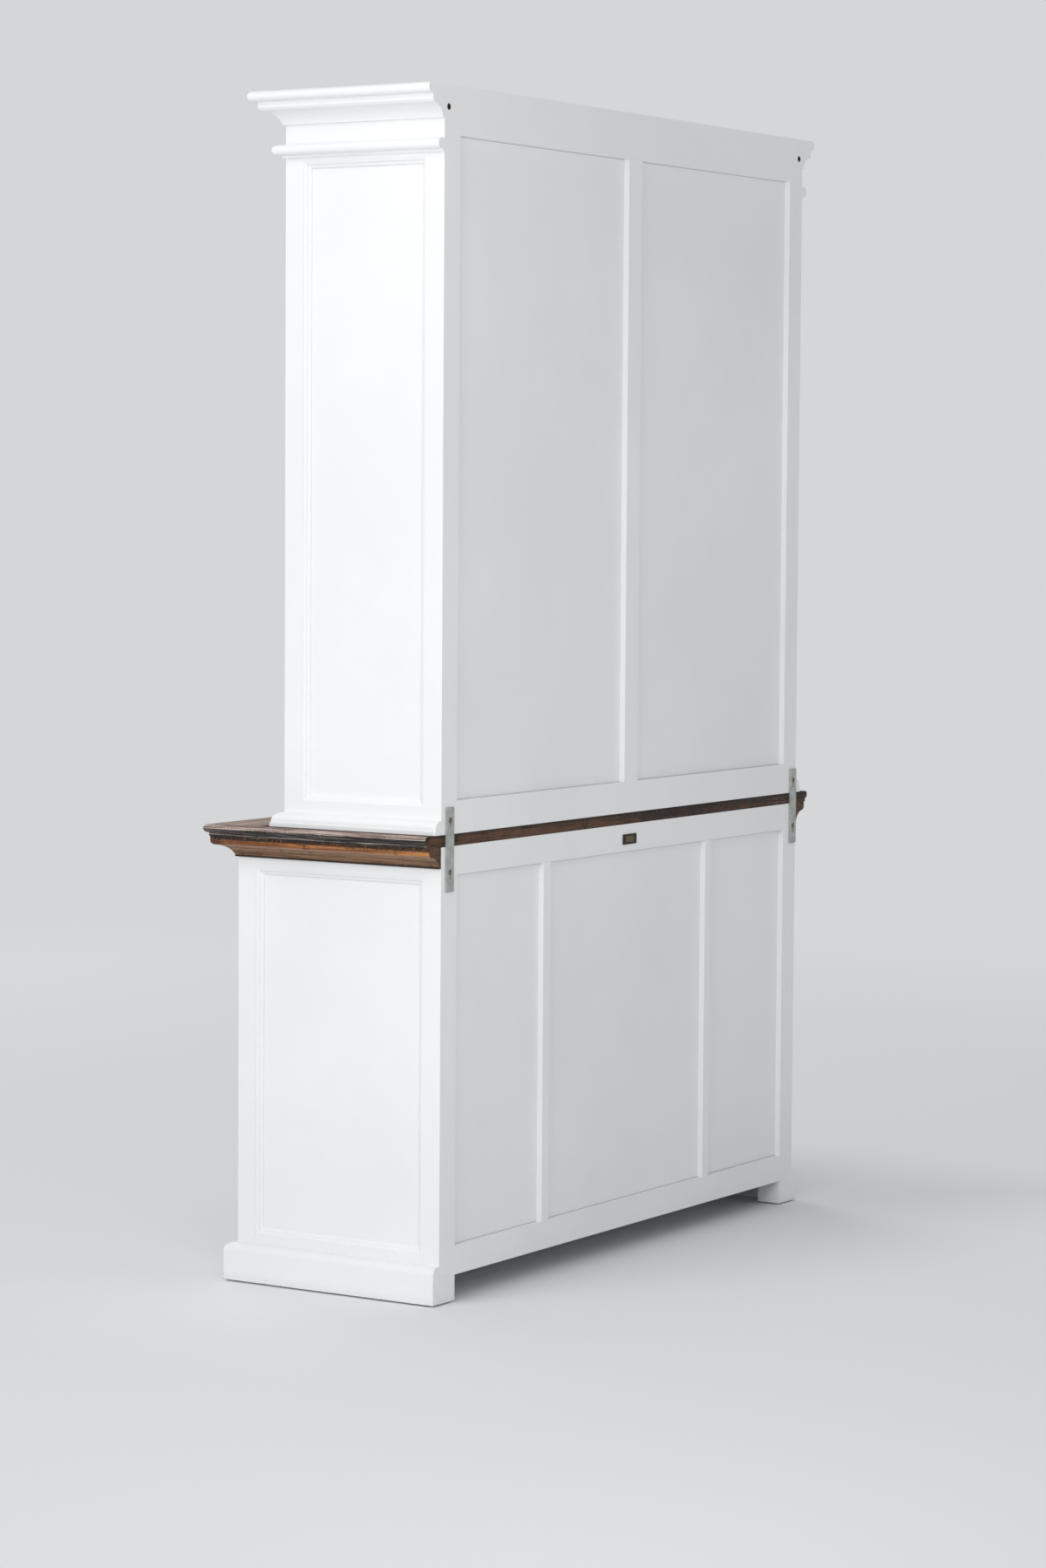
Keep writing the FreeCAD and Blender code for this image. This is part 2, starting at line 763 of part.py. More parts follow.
# Feet: blocks at the corners on square pads
block_parts = []
glide_parts = []
for side, sign in (("right", 1), ("left", -1)):
    for end, span in (("front", ("base_front", "base_front + foot_block_depth")),
                      ("rear", ("back - foot_block_depth", "back"))):
        block_parts.append(board("foot_block_%s_%s" % (side, end), sided(sign, "post_face", "half_width"),
                                 span, ("glide_thick", "frame_bottom")))
        inset = "(foot_block_depth - glide_width) / 2"
        glide_parts.append(board("glide_%s_%s" % (side, end),
                                 sided(sign, "post_face + %s" % inset, "post_face + %s + glide_width" % inset),
                                 grown(span, "-" + inset), ("0", "glide_thick")))
node("foot_blocks", *block_parts)
node("floor_glides", *glide_parts)

# Plinth
plinth_outline = [
    ("0", "0"),
    ("plinth_thick", "0"),
    ("plinth_thick", "plinth_height - plinth_radius", "plinth_radius", "left"),
    ("plinth_thick - plinth_radius", "plinth_height"),
    ("0", "plinth_height"),
]
three_sides("plinth", plinth_outline, "plinth_thick", "base_front", "base_depth", "glide_thick")

# Worktop: a slab over a slightly smaller one, with the slab's long edges rounded to a nose
worktop = document.addObject("PartDesign::Body", "worktop_body")
worktop_edge = ("half_width + side_overhang", "base_front - front_overhang")
slabs = (
    ("worktop_slab", "0", "worktop_height - nose_height", "worktop_height"),
    ("worktop_step", "nose_reach", "worktop_under", "worktop_height - nose_height"),
)
for name, inset, low, high in slabs:
    slab = worktop.newObject("PartDesign::AdditiveBox", name)
    bind(slab, "Length", "2 * (%s - %s)" % (worktop_edge[0], inset))
    bind(slab, "Width", "back - (%s) - %s" % (worktop_edge[1], inset))
    bind(slab, "Height", "(%s) - (%s)" % (high, low))
    move(slab, ("%s - (%s)" % (inset, worktop_edge[0]), "%s + %s" % (worktop_edge[1], inset), low))
document.recompute()


# The front and side edges of the slab, on its upper and lower faces
def nose_edges(shape):
    side = amount(worktop_edge[0])
    front = amount(worktop_edge[1])
    levels = (amount("worktop_height"), amount("worktop_height - nose_height"))
    picked = []
    for number, edge in enumerate(shape.Edges, 1):
        box = edge.BoundBox
        level = any(abs(box.ZMin - z) < 1e-6 and abs(box.ZMax - z) < 1e-6 for z in levels)
        on_side = box.XLength < 1e-6 and abs(abs(box.XMin) - side) < 1e-6
        on_front = box.YLength < 1e-6 and abs(box.YMin - front) < 1e-6
        if level and (on_side or on_front):
            picked.append("Edge%d" % number)
    return picked


nose = worktop.newObject("PartDesign::Fillet", "worktop_nose")
nose.Base = (slab, nose_edges(slab.Shape))
bind(nose, "Radius", "nose_height * %s" % nose_round_share)
cutting_steps.append((slab, nose))
node("worktop", worktop)

# Mouldings round the front and the sides
thumb_outline = [
    ("0", "0"),
    ("thumb_foot_reach", "0"),
    ("thumb_foot_reach", "thumb_foot_rise", "thumb_cove_radius", "right"),
    ("thumb_cove_reach", "thumb_rise"),
    ("thumb_reach - thumb_radius", "thumb_rise", "thumb_radius", "left"),
    ("thumb_reach", "thumb_rise + thumb_radius"),
    ("thumb_reach", "thumb_height"),
    ("0", "thumb_height"),
]
three_sides("worktop_moulding", thumb_outline, "thumb_reach", "base_front", "base_depth",
            "worktop_under - thumb_height")
crown_outline = [
    ("0", "0"),
    ("crown_foot_reach", "0"),
    ("crown_foot_reach", "crown_foot_rise", "crown_cove_radius", "right"),
    ("crown_cove_reach", "crown_cove_rise"),
    ("crown_fascia_reach", "crown_fascia_rise"),
    ("crown_fascia_reach", "crown_height - 2 * crown_nose_radius"),
    ("crown_reach - crown_nose_radius", "crown_height - 2 * crown_nose_radius", "crown_nose_radius", "left"),
    ("crown_reach", "crown_height - crown_nose_radius", "crown_nose_radius", "left"),
    ("crown_reach - crown_nose_radius", "crown_height"),
    ("0", "crown_height"),
]
three_sides("crown_moulding", crown_outline, "crown_reach", "hutch_front", "hutch_depth",
            "total_height - crown_height")
neck_outline = [
    ("0", "0"),
    ("neck_fillet", "0"),
    ("neck_fillet", "neck_fillet"),
    ("neck_radius", "neck_fillet", "neck_radius", "left"),
    ("2 * neck_radius", "neck_fillet + neck_radius", "neck_radius", "left"),
    ("neck_radius", "neck_fillet + 2 * neck_radius"),
    ("0", "neck_fillet + 2 * neck_radius"),
]
three_sides("neck_moulding", neck_outline, "2 * neck_radius", "hutch_front", "hutch_depth",
            "total_height - neck_drop")
ovolo_outline = [
    ("0", "0"),
    ("ovolo_reach", "0"),
    ("ovolo_reach", "ovolo_lip"),
    ("ovolo_reach - ovolo_step", "ovolo_lip"),
    ("ovolo_reach - ovolo_step", "ovolo_lip + ovolo_step", "ovolo_radius", "left"),
    ("ovolo_reach - ovolo_step - ovolo_radius", "ovolo_lip + ovolo_step + ovolo_radius"),
    ("0", "ovolo_lip + ovolo_step + ovolo_radius"),
]
three_sides("hutch_foot_moulding", ovolo_outline, "ovolo_reach", "hutch_front", "hutch_depth", "worktop_height")

# Drawer runners: a ledge under each drawer side and a guide beside it
runner_parts = []
runner_length = ("base_front + post_depth", "rear_post_front")


def runner(name, sign, ledge_edge, guide_face, seat, outwards):
    outer = "%s + runner_ledge" % guide_face if outwards else "%s - runner_ledge" % guide_face
    across = (seat, outer) if outwards else (outer, seat)
    ledge = board(name + "_ledge", sided(sign, *across), runner_length,
                  ("drawer_bottom - board_thick", "drawer_bottom"))
    guide_span = (seat, guide_face) if outwards else (guide_face, seat)
    guide = board(name + "_guide", sided(sign, *guide_span), runner_length,
                  ("drawer_bottom", "drawer_bottom + runner_guide"))
    runner_parts.append(fuse(name, ledge, guide))


for side, sign in (("right", 1), ("left", -1)):
    runner("outer_runner_" + side, sign, "post_face", "post_face", "side_inner", False)
    runner("partition_runner_" + side, sign, "mullion_outer", "mullion_outer", "partition_outer", True)
    runner("middle_runner_" + side, sign, "mullion_inner", "mullion_inner", "partition_inner", False)
node("drawer_runners", *runner_parts)

# An eight-sided knob, its axis along Z, with a broad chamfer round its face
knob = document.addObject("PartDesign::Body", "knob")
for name, radius, length, low in (
        ("knob_neck", "knob_neck_radius", "knob_neck_length", "0"),
        ("knob_head", "knob_head_radius", "knob_head_length", "knob_neck_length")):
    prism = knob.newObject("PartDesign::AdditivePrism", name)
    prism.Polygon = knob_sides
    bind(prism, "Circumradius", radius)
    bind(prism, "Height", length)
    move(prism, ("0", "0", low))
document.recompute()
knob_chamfer = knob.newObject("PartDesign::Chamfer", "knob_face")
knob_face_edges = ["Edge%d" % number for number, edge in enumerate(prism.Shape.Edges, 1)
                   if abs(edge.BoundBox.ZMin - amount("knob_neck_length + knob_head_length")) < 1e-6]
knob_chamfer.Base = (prism, knob_face_edges)
bind(knob_chamfer, "Size", "knob_chamfer")
cutting_steps.append((prism, knob_chamfer))
flats_upright = Rotation(Vector(0, 0, 1), 180 / knob_sides)


def knob_at(name, place):
    return copy_at(name, knob, place, facing_front * flats_upright)


# A butt hinge about the foot of its axis, for a door hung on its left
fixed_leaf = fuse(
    "fixed_leaf_blank",
    cylinder("hinge_barrel", "barrel_radius", "hinge_height", ("0", "0", "0")),
    board("fixed_leaf_plate", ("-door_gap / 2", "leaf_thick - door_gap / 2"),
          ("0", "hinge_stand + leaf_depth"), ("0", "hinge_height")))
moving_leaf = gather("moving_leaf", [board(
    "moving_leaf_plate", ("door_gap / 2 - leaf_thick", "door_gap / 2"),
    ("hinge_stand", "hinge_stand + leaf_depth"), ("0", "hinge_height"))])
hinge_leaves = {
    "left": (fixed_leaf, moving_leaf),
    "right": (mirrored("fixed_leaf_right", fixed_leaf), mirrored("moving_leaf_right", moving_leaf)),
}


# A framed door at the origin: front face on Y = 0, left edge on X = 0, bottom on Z = 0.
def framed_door(name, width, height, panel_thick):
    thick = ("0", "door_thick")
    right_stile = "%s - door_stile" % width
    panel_low = "door_bottom_rail"
    panel_high = "%s - door_top_rail" % height
    across = grown(("door_stile", right_stile), "groove_depth")
    along = ("door_panel_recess", "door_panel_recess + %s" % panel_thick)
    up = grown((panel_low, panel_high), "groove_depth")
    panel = board(name + "_panel", across, along, up)
    groove = board(name + "_groove", grown(across, "groove_play"), grown(along, "groove_play"),
                   grown(up, "groove_play"))
    members = (
        board(name + "_left_stile", ("0", "door_stile"), thick, ("0", height)),
        board(name + "_right_stile", (right_stile, width), thick, ("0", height)),
        board(name + "_bottom_rail", ("door_stile", right_stile), thick, ("0", panel_low)),
        board(name + "_top_rail", ("door_stile", right_stile), thick, (panel_high, height)),
    )
    parts = [cut(name + "_member", member, groove) for member in members]
    spans = {"low": "door_stile", "high": right_stile}
    heights = {"low": panel_low, "high": panel_high}

    def corner(side, end):
        return (spans[side], "door_panel_recess", heights[end])

    parts += bead_frame(name, "bevel", Vector(0, -1, 0), corner, "%s - 2 * door_stile" % width,
                        "(%s) - (%s)" % (panel_high, panel_low))
    return parts, panel


hutch_door_parts, hutch_glass = framed_door("hutch_door", "hutch_door_width", "hutch_door_height", "glass_thick")
hutch_door_frame = gather("hutch_door_pattern", hutch_door_parts)
hutch_glass = gather("hutch_glass_pattern", [hutch_glass])
base_door_frames = {}
for word in ("outer", "inner"):
    door_width = "base_%s_door_width" % word
    parts, panel = framed_door("base_%s_door" % word, door_width, "base_door_height", "door_panel_thick")
    base_door_frames[word] = gather("base_%s_door_pattern" % word, parts + [panel])

fixed_leaves = []
catch_parts = []


# Hangs a door: its knob and hinge leaves ride on it, the fixed hinge halves and the catch don't.
def fittings(name, left_edge, width, hand, front, bottom, height, hinge_inset, knob_height):
    if hand == "left":
        axis = "%s - door_gap / 2" % left_edge
        free_stile = "%s + %s - door_stile / 2" % (left_edge, width)
        catch_low = "%s + %s - catch_inset - catch_width" % (left_edge, width)
    else:
        axis = "%s + %s + door_gap / 2" % (left_edge, width)
        free_stile = "%s + door_stile / 2" % left_edge
        catch_low = "%s + catch_inset" % left_edge
    fixed, moving = hinge_leaves[hand]
    parts = [knob_at(name + "_knob", (free_stile, front, knob_height))]
    levels = ("%s + %s" % (bottom, hinge_inset), "%s + %s - %s - hinge_height" % (bottom, height, hinge_inset))
    for word, level in zip(("lower", "upper"), levels):
        place = (axis, "%s - hinge_stand" % front, level)
        parts.append(copy_at("%s_%s_leaf" % (name, word), moving, place))
        fixed_leaves.append(copy_at("%s_%s_fixed_leaf" % (name, word), fixed, place))
    node(name + "_fittings", *parts)
    opening_top = "%s + %s + door_gap" % (bottom, height)
    inner_front = "%s + face_frame_thick" % front
    catch_parts.append(board(
        name + "_catch", (catch_low, "%s + catch_width" % catch_low),
        (inner_front, "%s + catch_depth" % inner_front),
        ("%s - catch_lap" % opening_top, "%s - catch_lap + catch_height" % opening_top)))


second_door = " + 2 * door_gap + hutch_door_width"
hutch_doors = (
    ("-post_face + door_gap", "left"),
    ("-post_face" + second_door, "right"),
    ("half_centre_stile + door_gap", "left"),
    ("half_centre_stile" + second_door, "right"),
)
for number, (left_edge, hand) in enumerate(hutch_doors, 1):
    name = "hutch_door_%d" % number
    bottom = "hutch_floor_top + door_gap"
    place = (left_edge, "hutch_front", bottom)
    node(name + "_frame", copy_at(name + "_frame_copy", hutch_door_frame, place))
    node(name + "_glass", copy_at(name + "_glass_copy", hutch_glass, place))
    fittings(name, left_edge, "hutch_door_width", hand, "hutch_front", bottom, "hutch_door_height",
             "hutch_hinge_inset", "%s + hutch_knob_rise" % bottom)

base_doors = (
    ("-post_face + door_gap", "outer", "left"),
    ("-mullion_inner + door_gap", "inner", "left"),
    ("-mullion_inner + 2 * door_gap + base_inner_door_width", "inner", "right"),
    ("mullion_outer + door_gap", "outer", "right"),
)
for number, (left_edge, word, hand) in enumerate(base_doors, 1):
    name = "base_door_%d" % number
    bottom = "base_floor_top + door_gap"
    node(name + "_frame", copy_at(name + "_frame_copy", base_door_frames[word],
                                  (left_edge, "base_front", bottom)))
    fittings(name, left_edge, "base_%s_door_width" % word, hand, "base_front", bottom, "base_door_height",
             "base_hinge_inset", "%s + base_door_height - base_knob_drop" % bottom)
node("fixed_hinge_leaves", *fixed_leaves)
node("door_catches", *catch_parts)


# A drawer about the middle of its opening: front face on Y = 0, runner on Z = 0.
def drawer(name, opening, centre, knob_places):
    half_front = "%s / 2 - door_gap" % opening
    half_box = "%s / 2 - drawer_side_gap" % opening
    half_clear = "(%s) - drawer_side_thick" % half_box
    box_y = ("drawer_front_thick", "drawer_front_thick + drawer_length")
    box_z = ("running_gap", "running_gap + drawer_side_height")
    bottom_z = ("running_gap + drawer_bottom_rise", "running_gap + drawer_bottom_rise + drawer_bottom_thick")
    bottom_x = ("-(%s) - drawer_groove" % half_clear, "%s + drawer_groove" % half_clear)
    bottom_y = ("drawer_front_thick - drawer_groove", box_y[1])
    bottom = board(name + "_bottom", bottom_x, bottom_y, bottom_z)
    groove = board(name + "_bottom_groove", grown(bottom_x, "groove_play"), grown(bottom_y, "groove_play"),
                   grown(bottom_z, "groove_play"))
    sides = [cut("%s_%s_side" % (name, word), board("%s_%s_side" % (name, word),
                 sided(sign, half_clear, half_box), box_y, box_z), groove)
             for word, sign in (("right", 1), ("left", -1))]
    back = board(name + "_back", ("-(%s)" % half_clear, half_clear),
                 ("%s - drawer_side_thick" % box_y[1], box_y[1]),
                 ("%s + groove_play" % bottom_z[1], "%s - drawer_back_drop" % box_z[1]))
    front_body = document.addObject("PartDesign::Body", name + "_front_body")
    blank = front_body.newObject("PartDesign::AdditiveBox", name + "_front_blank")
    bind(blank, "Length", "2 * (%s)" % half_front)
    bind(blank, "Width", "drawer_front_thick")
    bind(blank, "Height", "drawer_opening - 2 * door_gap")
    move(blank, ("-(%s)" % half_front, "0", "door_gap"))
    document.recompute()
    edges = ["Edge%d" % number for number, edge in enumerate(blank.Shape.Edges, 1)
             if abs(edge.BoundBox.YMax) < 1e-6]
    chamfer = front_body.newObject("PartDesign::Chamfer", name + "_front_chamfer")
    chamfer.Base = (blank, edges)
    bind(chamfer, "Size", "drawer_front_chamfer")
    front = cut(name + "_front", front_body, groove)
    place = (centre, "base_front", "drawer_bottom")
    node(name + "_front", copy_at(name + "_front_copy", front, place))
    node(name + "_box", copy_at(name + "_box_copy", gather(name + "_box_parts", sides + [back, bottom]), place))
    node(name + "_knob", *[knob_at("%s_knob_%d" % (name, number), (
        "%s + %s" % (centre, across), "base_front", "drawer_bottom + drawer_opening / 2"))
        for number, across in enumerate(knob_places, 1)])


outer_drawer_centre = "mullion_outer + outer_drawer_opening / 2"
drawer("left_drawer", "outer_drawer_opening", "-(%s)" % outer_drawer_centre, ["0"])
drawer("middle_drawer", "middle_drawer_opening", "0", ["-drawer_knob_spread", "drawer_knob_spread"])
drawer("right_drawer", "outer_drawer_opening", outer_drawer_centre, ["0"])

# Joining plates with keyholes: a round hole for the screw head and a slot below it
plate = document.addObject("PartDesign::Body", "plate_body")
plate_blank = plate.newObject("PartDesign::AdditiveBox", "plate_blank")
bind(plate_blank, "Length", "plate_width")
bind(plate_blank, "Width", "plate_thick")
bind(plate_blank, "Height", "plate_height")
move(plate_blank, ("-plate_width / 2", "0", "-plate_height"))
document.recompute()
plate_round = plate.newObject("PartDesign::Fillet", "plate_round")
plate_round.Base = (plate_blank, ["Edge%d" % number for number, edge in enumerate(plate_blank.Shape.Edges, 1)
                                  if edge.BoundBox.XLength < 1e-6 and edge.BoundBox.ZLength < 1e-6])
bind(plate_round, "Radius", "plate_corner")
keyhole_tools = []
for level in ("-keyhole_drop", "-keyhole_drop - keyhole_spacing"):
    slot_end = "%s - keyhole_slot_drop + keyhole_slot_radius" % level
    through = ("-overrun", "plate_thick + overrun")
    keyhole_tools += [
        cylinder("keyhole_round", "keyhole_radius", "plate_thick + 2 * overrun",
                 ("0", "-overrun", level), facing_back),
        cylinder("keyhole_slot_end", "keyhole_slot_radius", "plate_thick + 2 * overrun",
                 ("0", "-overrun", slot_end), facing_back),
        board("keyhole_slot", ("-keyhole_slot_radius", "keyhole_slot_radius"), through, (slot_end, level)),
    ]
joining_plate = cut("joining_plate", plate, fuse("keyholes", *keyhole_tools))
eyelet = cut("eyelet", cylinder("eyelet_tube", "eyelet_radius", "post_depth", ("0", "0", "0")),
             cylinder("eyelet_bore", "eyelet_bore_radius", "post_depth + 2 * overrun", ("0", "0", "-overrun")))
plate_centres = {"right": "right_plate_centre", "left": "left_plate_centre"}
plate_parts = []
screw_parts = []
eyelet_parts = []
for side, centre in plate_centres.items():
    plate_parts.append(copy_at("joining_plate_" + side, joining_plate, (centre, "back", "plate_top")))
    for word in ("upper", "lower"):
        screw_parts.append(cylinder("%s_screw_head_%s" % (word, side), "screw_head_radius", "screw_head_height",
                                    (centre, "back", word + "_screw_height"), facing_back))
for side, centre in eyelet_centres.items():
    eyelet_parts.append(copy_at("eyelet_" + side, eyelet, (centre, "rear_post_front", "eyelet_height"),
                                facing_back))
node("joining_plates", *plate_parts)
node("joining_screw_heads", *screw_parts)
node("wall_fixing_eyelets", *eyelet_parts)

# Badge on the base's top back rail
node("badge", board("badge_plate", ("badge_offset - badge_width / 2", "badge_offset + badge_width / 2"),
                    ("back", "back + badge_thick"),
                    ("badge_centre_height - badge_height / 2", "badge_centre_height + badge_height / 2")))

document.recompute()

faults = []
for item in document.Objects:
    if {"Invalid", "Error"} & set(item.State):
        faults.append("%s: %s" % (item.Label, item.State))
for before, after in cutting_steps:
    if not after.Shape.Volume < before.Shape.Volume:
        faults.append("%s takes nothing away" % after.Label)
for group in nodes:
    if group.Shape.isNull() or not group.Shape.isValid() or not group.Shape.Solids:
        faults.append("%s has no good shape" % group.Label)
if len({group.Label for group in nodes}) != len(nodes):
    faults.append("two pieces share a name")
if faults:
    raise SystemExit("\n".join(faults))

os.makedirs("parts", exist_ok=True)
for group in nodes:
    group.Shape.exportStep(os.path.join("parts", group.Label + ".step"))
print("%d nodes, %d solids" % (len(nodes), sum(len(group.Shape.Solids) for group in nodes)))
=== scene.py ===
import json
import math

import bpy
from mathutils import Matrix, Vector

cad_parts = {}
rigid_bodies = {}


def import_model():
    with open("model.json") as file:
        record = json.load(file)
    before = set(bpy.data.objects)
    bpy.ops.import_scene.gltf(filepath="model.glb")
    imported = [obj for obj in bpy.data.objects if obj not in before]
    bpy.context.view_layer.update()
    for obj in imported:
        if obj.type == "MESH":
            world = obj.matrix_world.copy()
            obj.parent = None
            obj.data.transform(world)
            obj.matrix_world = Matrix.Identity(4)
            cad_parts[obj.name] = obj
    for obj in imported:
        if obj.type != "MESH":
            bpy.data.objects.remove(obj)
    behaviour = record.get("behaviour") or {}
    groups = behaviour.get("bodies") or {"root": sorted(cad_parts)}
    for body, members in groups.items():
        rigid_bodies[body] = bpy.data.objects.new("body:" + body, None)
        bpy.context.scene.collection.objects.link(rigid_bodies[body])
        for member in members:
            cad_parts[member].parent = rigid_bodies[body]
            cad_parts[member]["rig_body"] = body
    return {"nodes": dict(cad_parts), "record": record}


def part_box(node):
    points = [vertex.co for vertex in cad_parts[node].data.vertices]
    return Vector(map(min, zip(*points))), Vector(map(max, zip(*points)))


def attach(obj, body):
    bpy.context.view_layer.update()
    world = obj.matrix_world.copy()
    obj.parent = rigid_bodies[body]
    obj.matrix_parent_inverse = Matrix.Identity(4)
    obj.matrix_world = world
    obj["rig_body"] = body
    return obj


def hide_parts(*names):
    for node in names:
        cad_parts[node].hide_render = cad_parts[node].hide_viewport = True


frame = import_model()
bpy.ops.object.select_all(action="DESELECT")
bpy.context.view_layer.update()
nodes = frame["nodes"]
slotOf = {part["node"]: part["material_slot"] for part in frame["record"]["subparts"]}
print("frame loaded:", len(nodes), "nodes")


# One output of a shader node. Sums on it add Math nodes.
class Wire:
    def __init__(self, finish, out):
        self.finish, self.out = finish, out

    def __add__(self, other):
        return self.finish.maths("ADD", self, other)

    def __radd__(self, other):
        return self.finish.maths("ADD", other, self)

    def __sub__(self, other):
        return self.finish.maths("SUBTRACT", self, other)

    def __rsub__(self, other):
        return self.finish.maths("SUBTRACT", other, self)

    def __mul__(self, other):
        return self.finish.maths("MULTIPLY", self, other)

    def __rmul__(self, other):
        return self.finish.maths("MULTIPLY", other, self)

    def __truediv__(self, other):
        return self.finish.maths("DIVIDE", self, other)

    def __rtruediv__(self, other):
        return self.finish.maths("DIVIDE", other, self)

    def __gt__(self, other):
        return self.finish.maths("GREATER_THAN", self, other)

    def __lt__(self, other):
        return self.finish.maths("LESS_THAN", self, other)


# A material (or the world) and the short words its recipe is written in.
class Finish:
    def __init__(self, owner):
        owner.use_nodes = True
        self.owner, self.tree = owner, owner.node_tree
        self.tree.nodes.clear()

    def put(self, kind, settings=None, sockets=None, output=0):
        made = self.tree.nodes.new(kind)
        for word, value in (settings or {}).items():
            setattr(made, word, value)
        for key, value in (sockets or {}).items():
            if isinstance(value, Wire):
                self.tree.links.new(value.out, made.inputs[key])
            else:
                made.inputs[key].default_value = value
        return Wire(self, made.outputs[output]) if len(made.outputs) else made

    def maths(self, operation, first, second):
        return self.put("ShaderNodeMath", {"operation": operation}, {0: first, 1: second})

    def unsigned(self, value):
        return self.maths("ABSOLUTE", value, 0)

    def clamp(self, value):
        return self.put("ShaderNodeClamp", None, {0: value})

    def step(self, value, low, high, first=0, last=1):    # a soft step from low to high
        return self.put("ShaderNodeMapRange", {"interpolation_type": "SMOOTHSTEP"},
                        {0: value, 1: low, 2: high, 3: first, 4: last})

    def band(self, value, rise, fall):    # one between two soft steps, else nought
        return self.step(value, *rise) * self.step(value, *fall)

    def place(self):
        return self.put("ShaderNodeTexCoord", output="Object")

    def axes(self):
        made = self.put("ShaderNodeSeparateXYZ", None, {0: self.place()})
        return [Wire(self, out) for out in made.out.node.outputs]

    def noise(self, scale, detail=3, roughness=0.5, distortion=0, vector=None):
        return self.put("ShaderNodeTexNoise", None, {
            "Vector": vector or self.place(), "Scale": scale, "Detail": detail,
            "Roughness": roughness, "Distortion": distortion})

    def spots(self, settings, span):    # a noise taken through a soft step
        return self.step(self.noise(**settings), *span)

    def blend(self, amount, first, second):
        made = self.put("ShaderNodeMix", {"data_type": "RGBA"}, {"Factor": amount}).out.node
        for slot, value in ((6, first), (7, second)):
            if isinstance(value, Wire):
                self.tree.links.new(value.out, made.inputs[slot])
            else:
                made.inputs[slot].default_value = (*value, 1)
        return Wire(self, made.outputs[2])

    def toned(self, value, span, pair):    # from one tint to the other over the span
        return self.blend(self.step(value, *span), *pair)

    def bump(self, height, distance, strength=1.0, under=None):
        sockets = {"Height": height, "Distance": distance, "Strength": strength}
        if under:
            sockets["Normal"] = under
        return self.put("ShaderNodeBump", None, sockets)

    def surface(self, **sockets):
        named = {word.replace("_", " "): value for word, value in sockets.items()}
        shader = self.put("ShaderNodeBsdfPrincipled", None, named)
        self.put("ShaderNodeOutputMaterial", None, {"Surface": shader})
        return self.owner


def newFinish(name):
    return Finish(bpy.data.materials.new(name))


def tint(red, green, blue):    # a colour as a picture editor shows it, 0 to 255
    return tuple(((c / 255 + 0.055) / 1.055) ** 2.4 if c > 10 else c / 255 / 12.92
                 for c in (red, green, blue))


def share(first, second, part):    # a weighted mean of two values
    return first * part + second * (1 - part)


noiseMean = 0.5

# Semi-gloss white paint, sprayed and lightly brushed. Heights are in metres.
paintLook = {
    "body": (tint(243, 244, 244), tint(238, 239, 240)),
    "bodyStep": (0.42, 0.78),
    "broad": {"scale": 1.7, "detail": 2},
    "cloud": {"scale": 14, "detail": 4, "roughness": 0.6},
    "cloudShare": 0.25,
    "speck": {"scale": 420, "detail": 2},
    "speckStep": (0.70, 0.76),
    "speckCloud": (0.48, 0.62),
    "speckAmount": 0.35,
    "speckTint": tint(212, 208, 202),
    "rub": {"scale": 90, "detail": 5, "roughness": 0.7},
    "rubStep": (0.60, 0.70),
    "rubTint": tint(196, 186, 172),
    "dust": {"scale": 45, "detail": 4},
    "dustWaver": 0.02,
    "dustStep": (0.034, 0.010),
    "dustAmount": 0.16,
    "dustTint": tint(188, 184, 178),
    "chip": {"scale": 150, "detail": 4, "roughness": 0.7},
    "chipStep": (0.57, 0.61),
    "chipHeight": (0.060, 0.010),
    "chipFromWear": 0.1,
    "chipAmount": 2,
    "chipTint": tint(122, 106, 92),
    # the painted shade line along the foot and head of the back panels
    "grimeInner": 0.7,
    "grimeAmount": 0.5,
    "grimeTint": tint(128, 128, 128),
    "roughness": 0.42,
    "gloss": {"scale": 6, "detail": 4},
    "glossSpread": 0.12,
    "peel": {"scale": 260, "detail": 2},
    "peelDepth": 0.00006,
    "peelStrength": 0.5,
    "wave": {"scale": 9, "detail": 1},
    "waveDepth": 0.0006,
    "waveStrength": 0.25,
    "bending": 1.48,
}


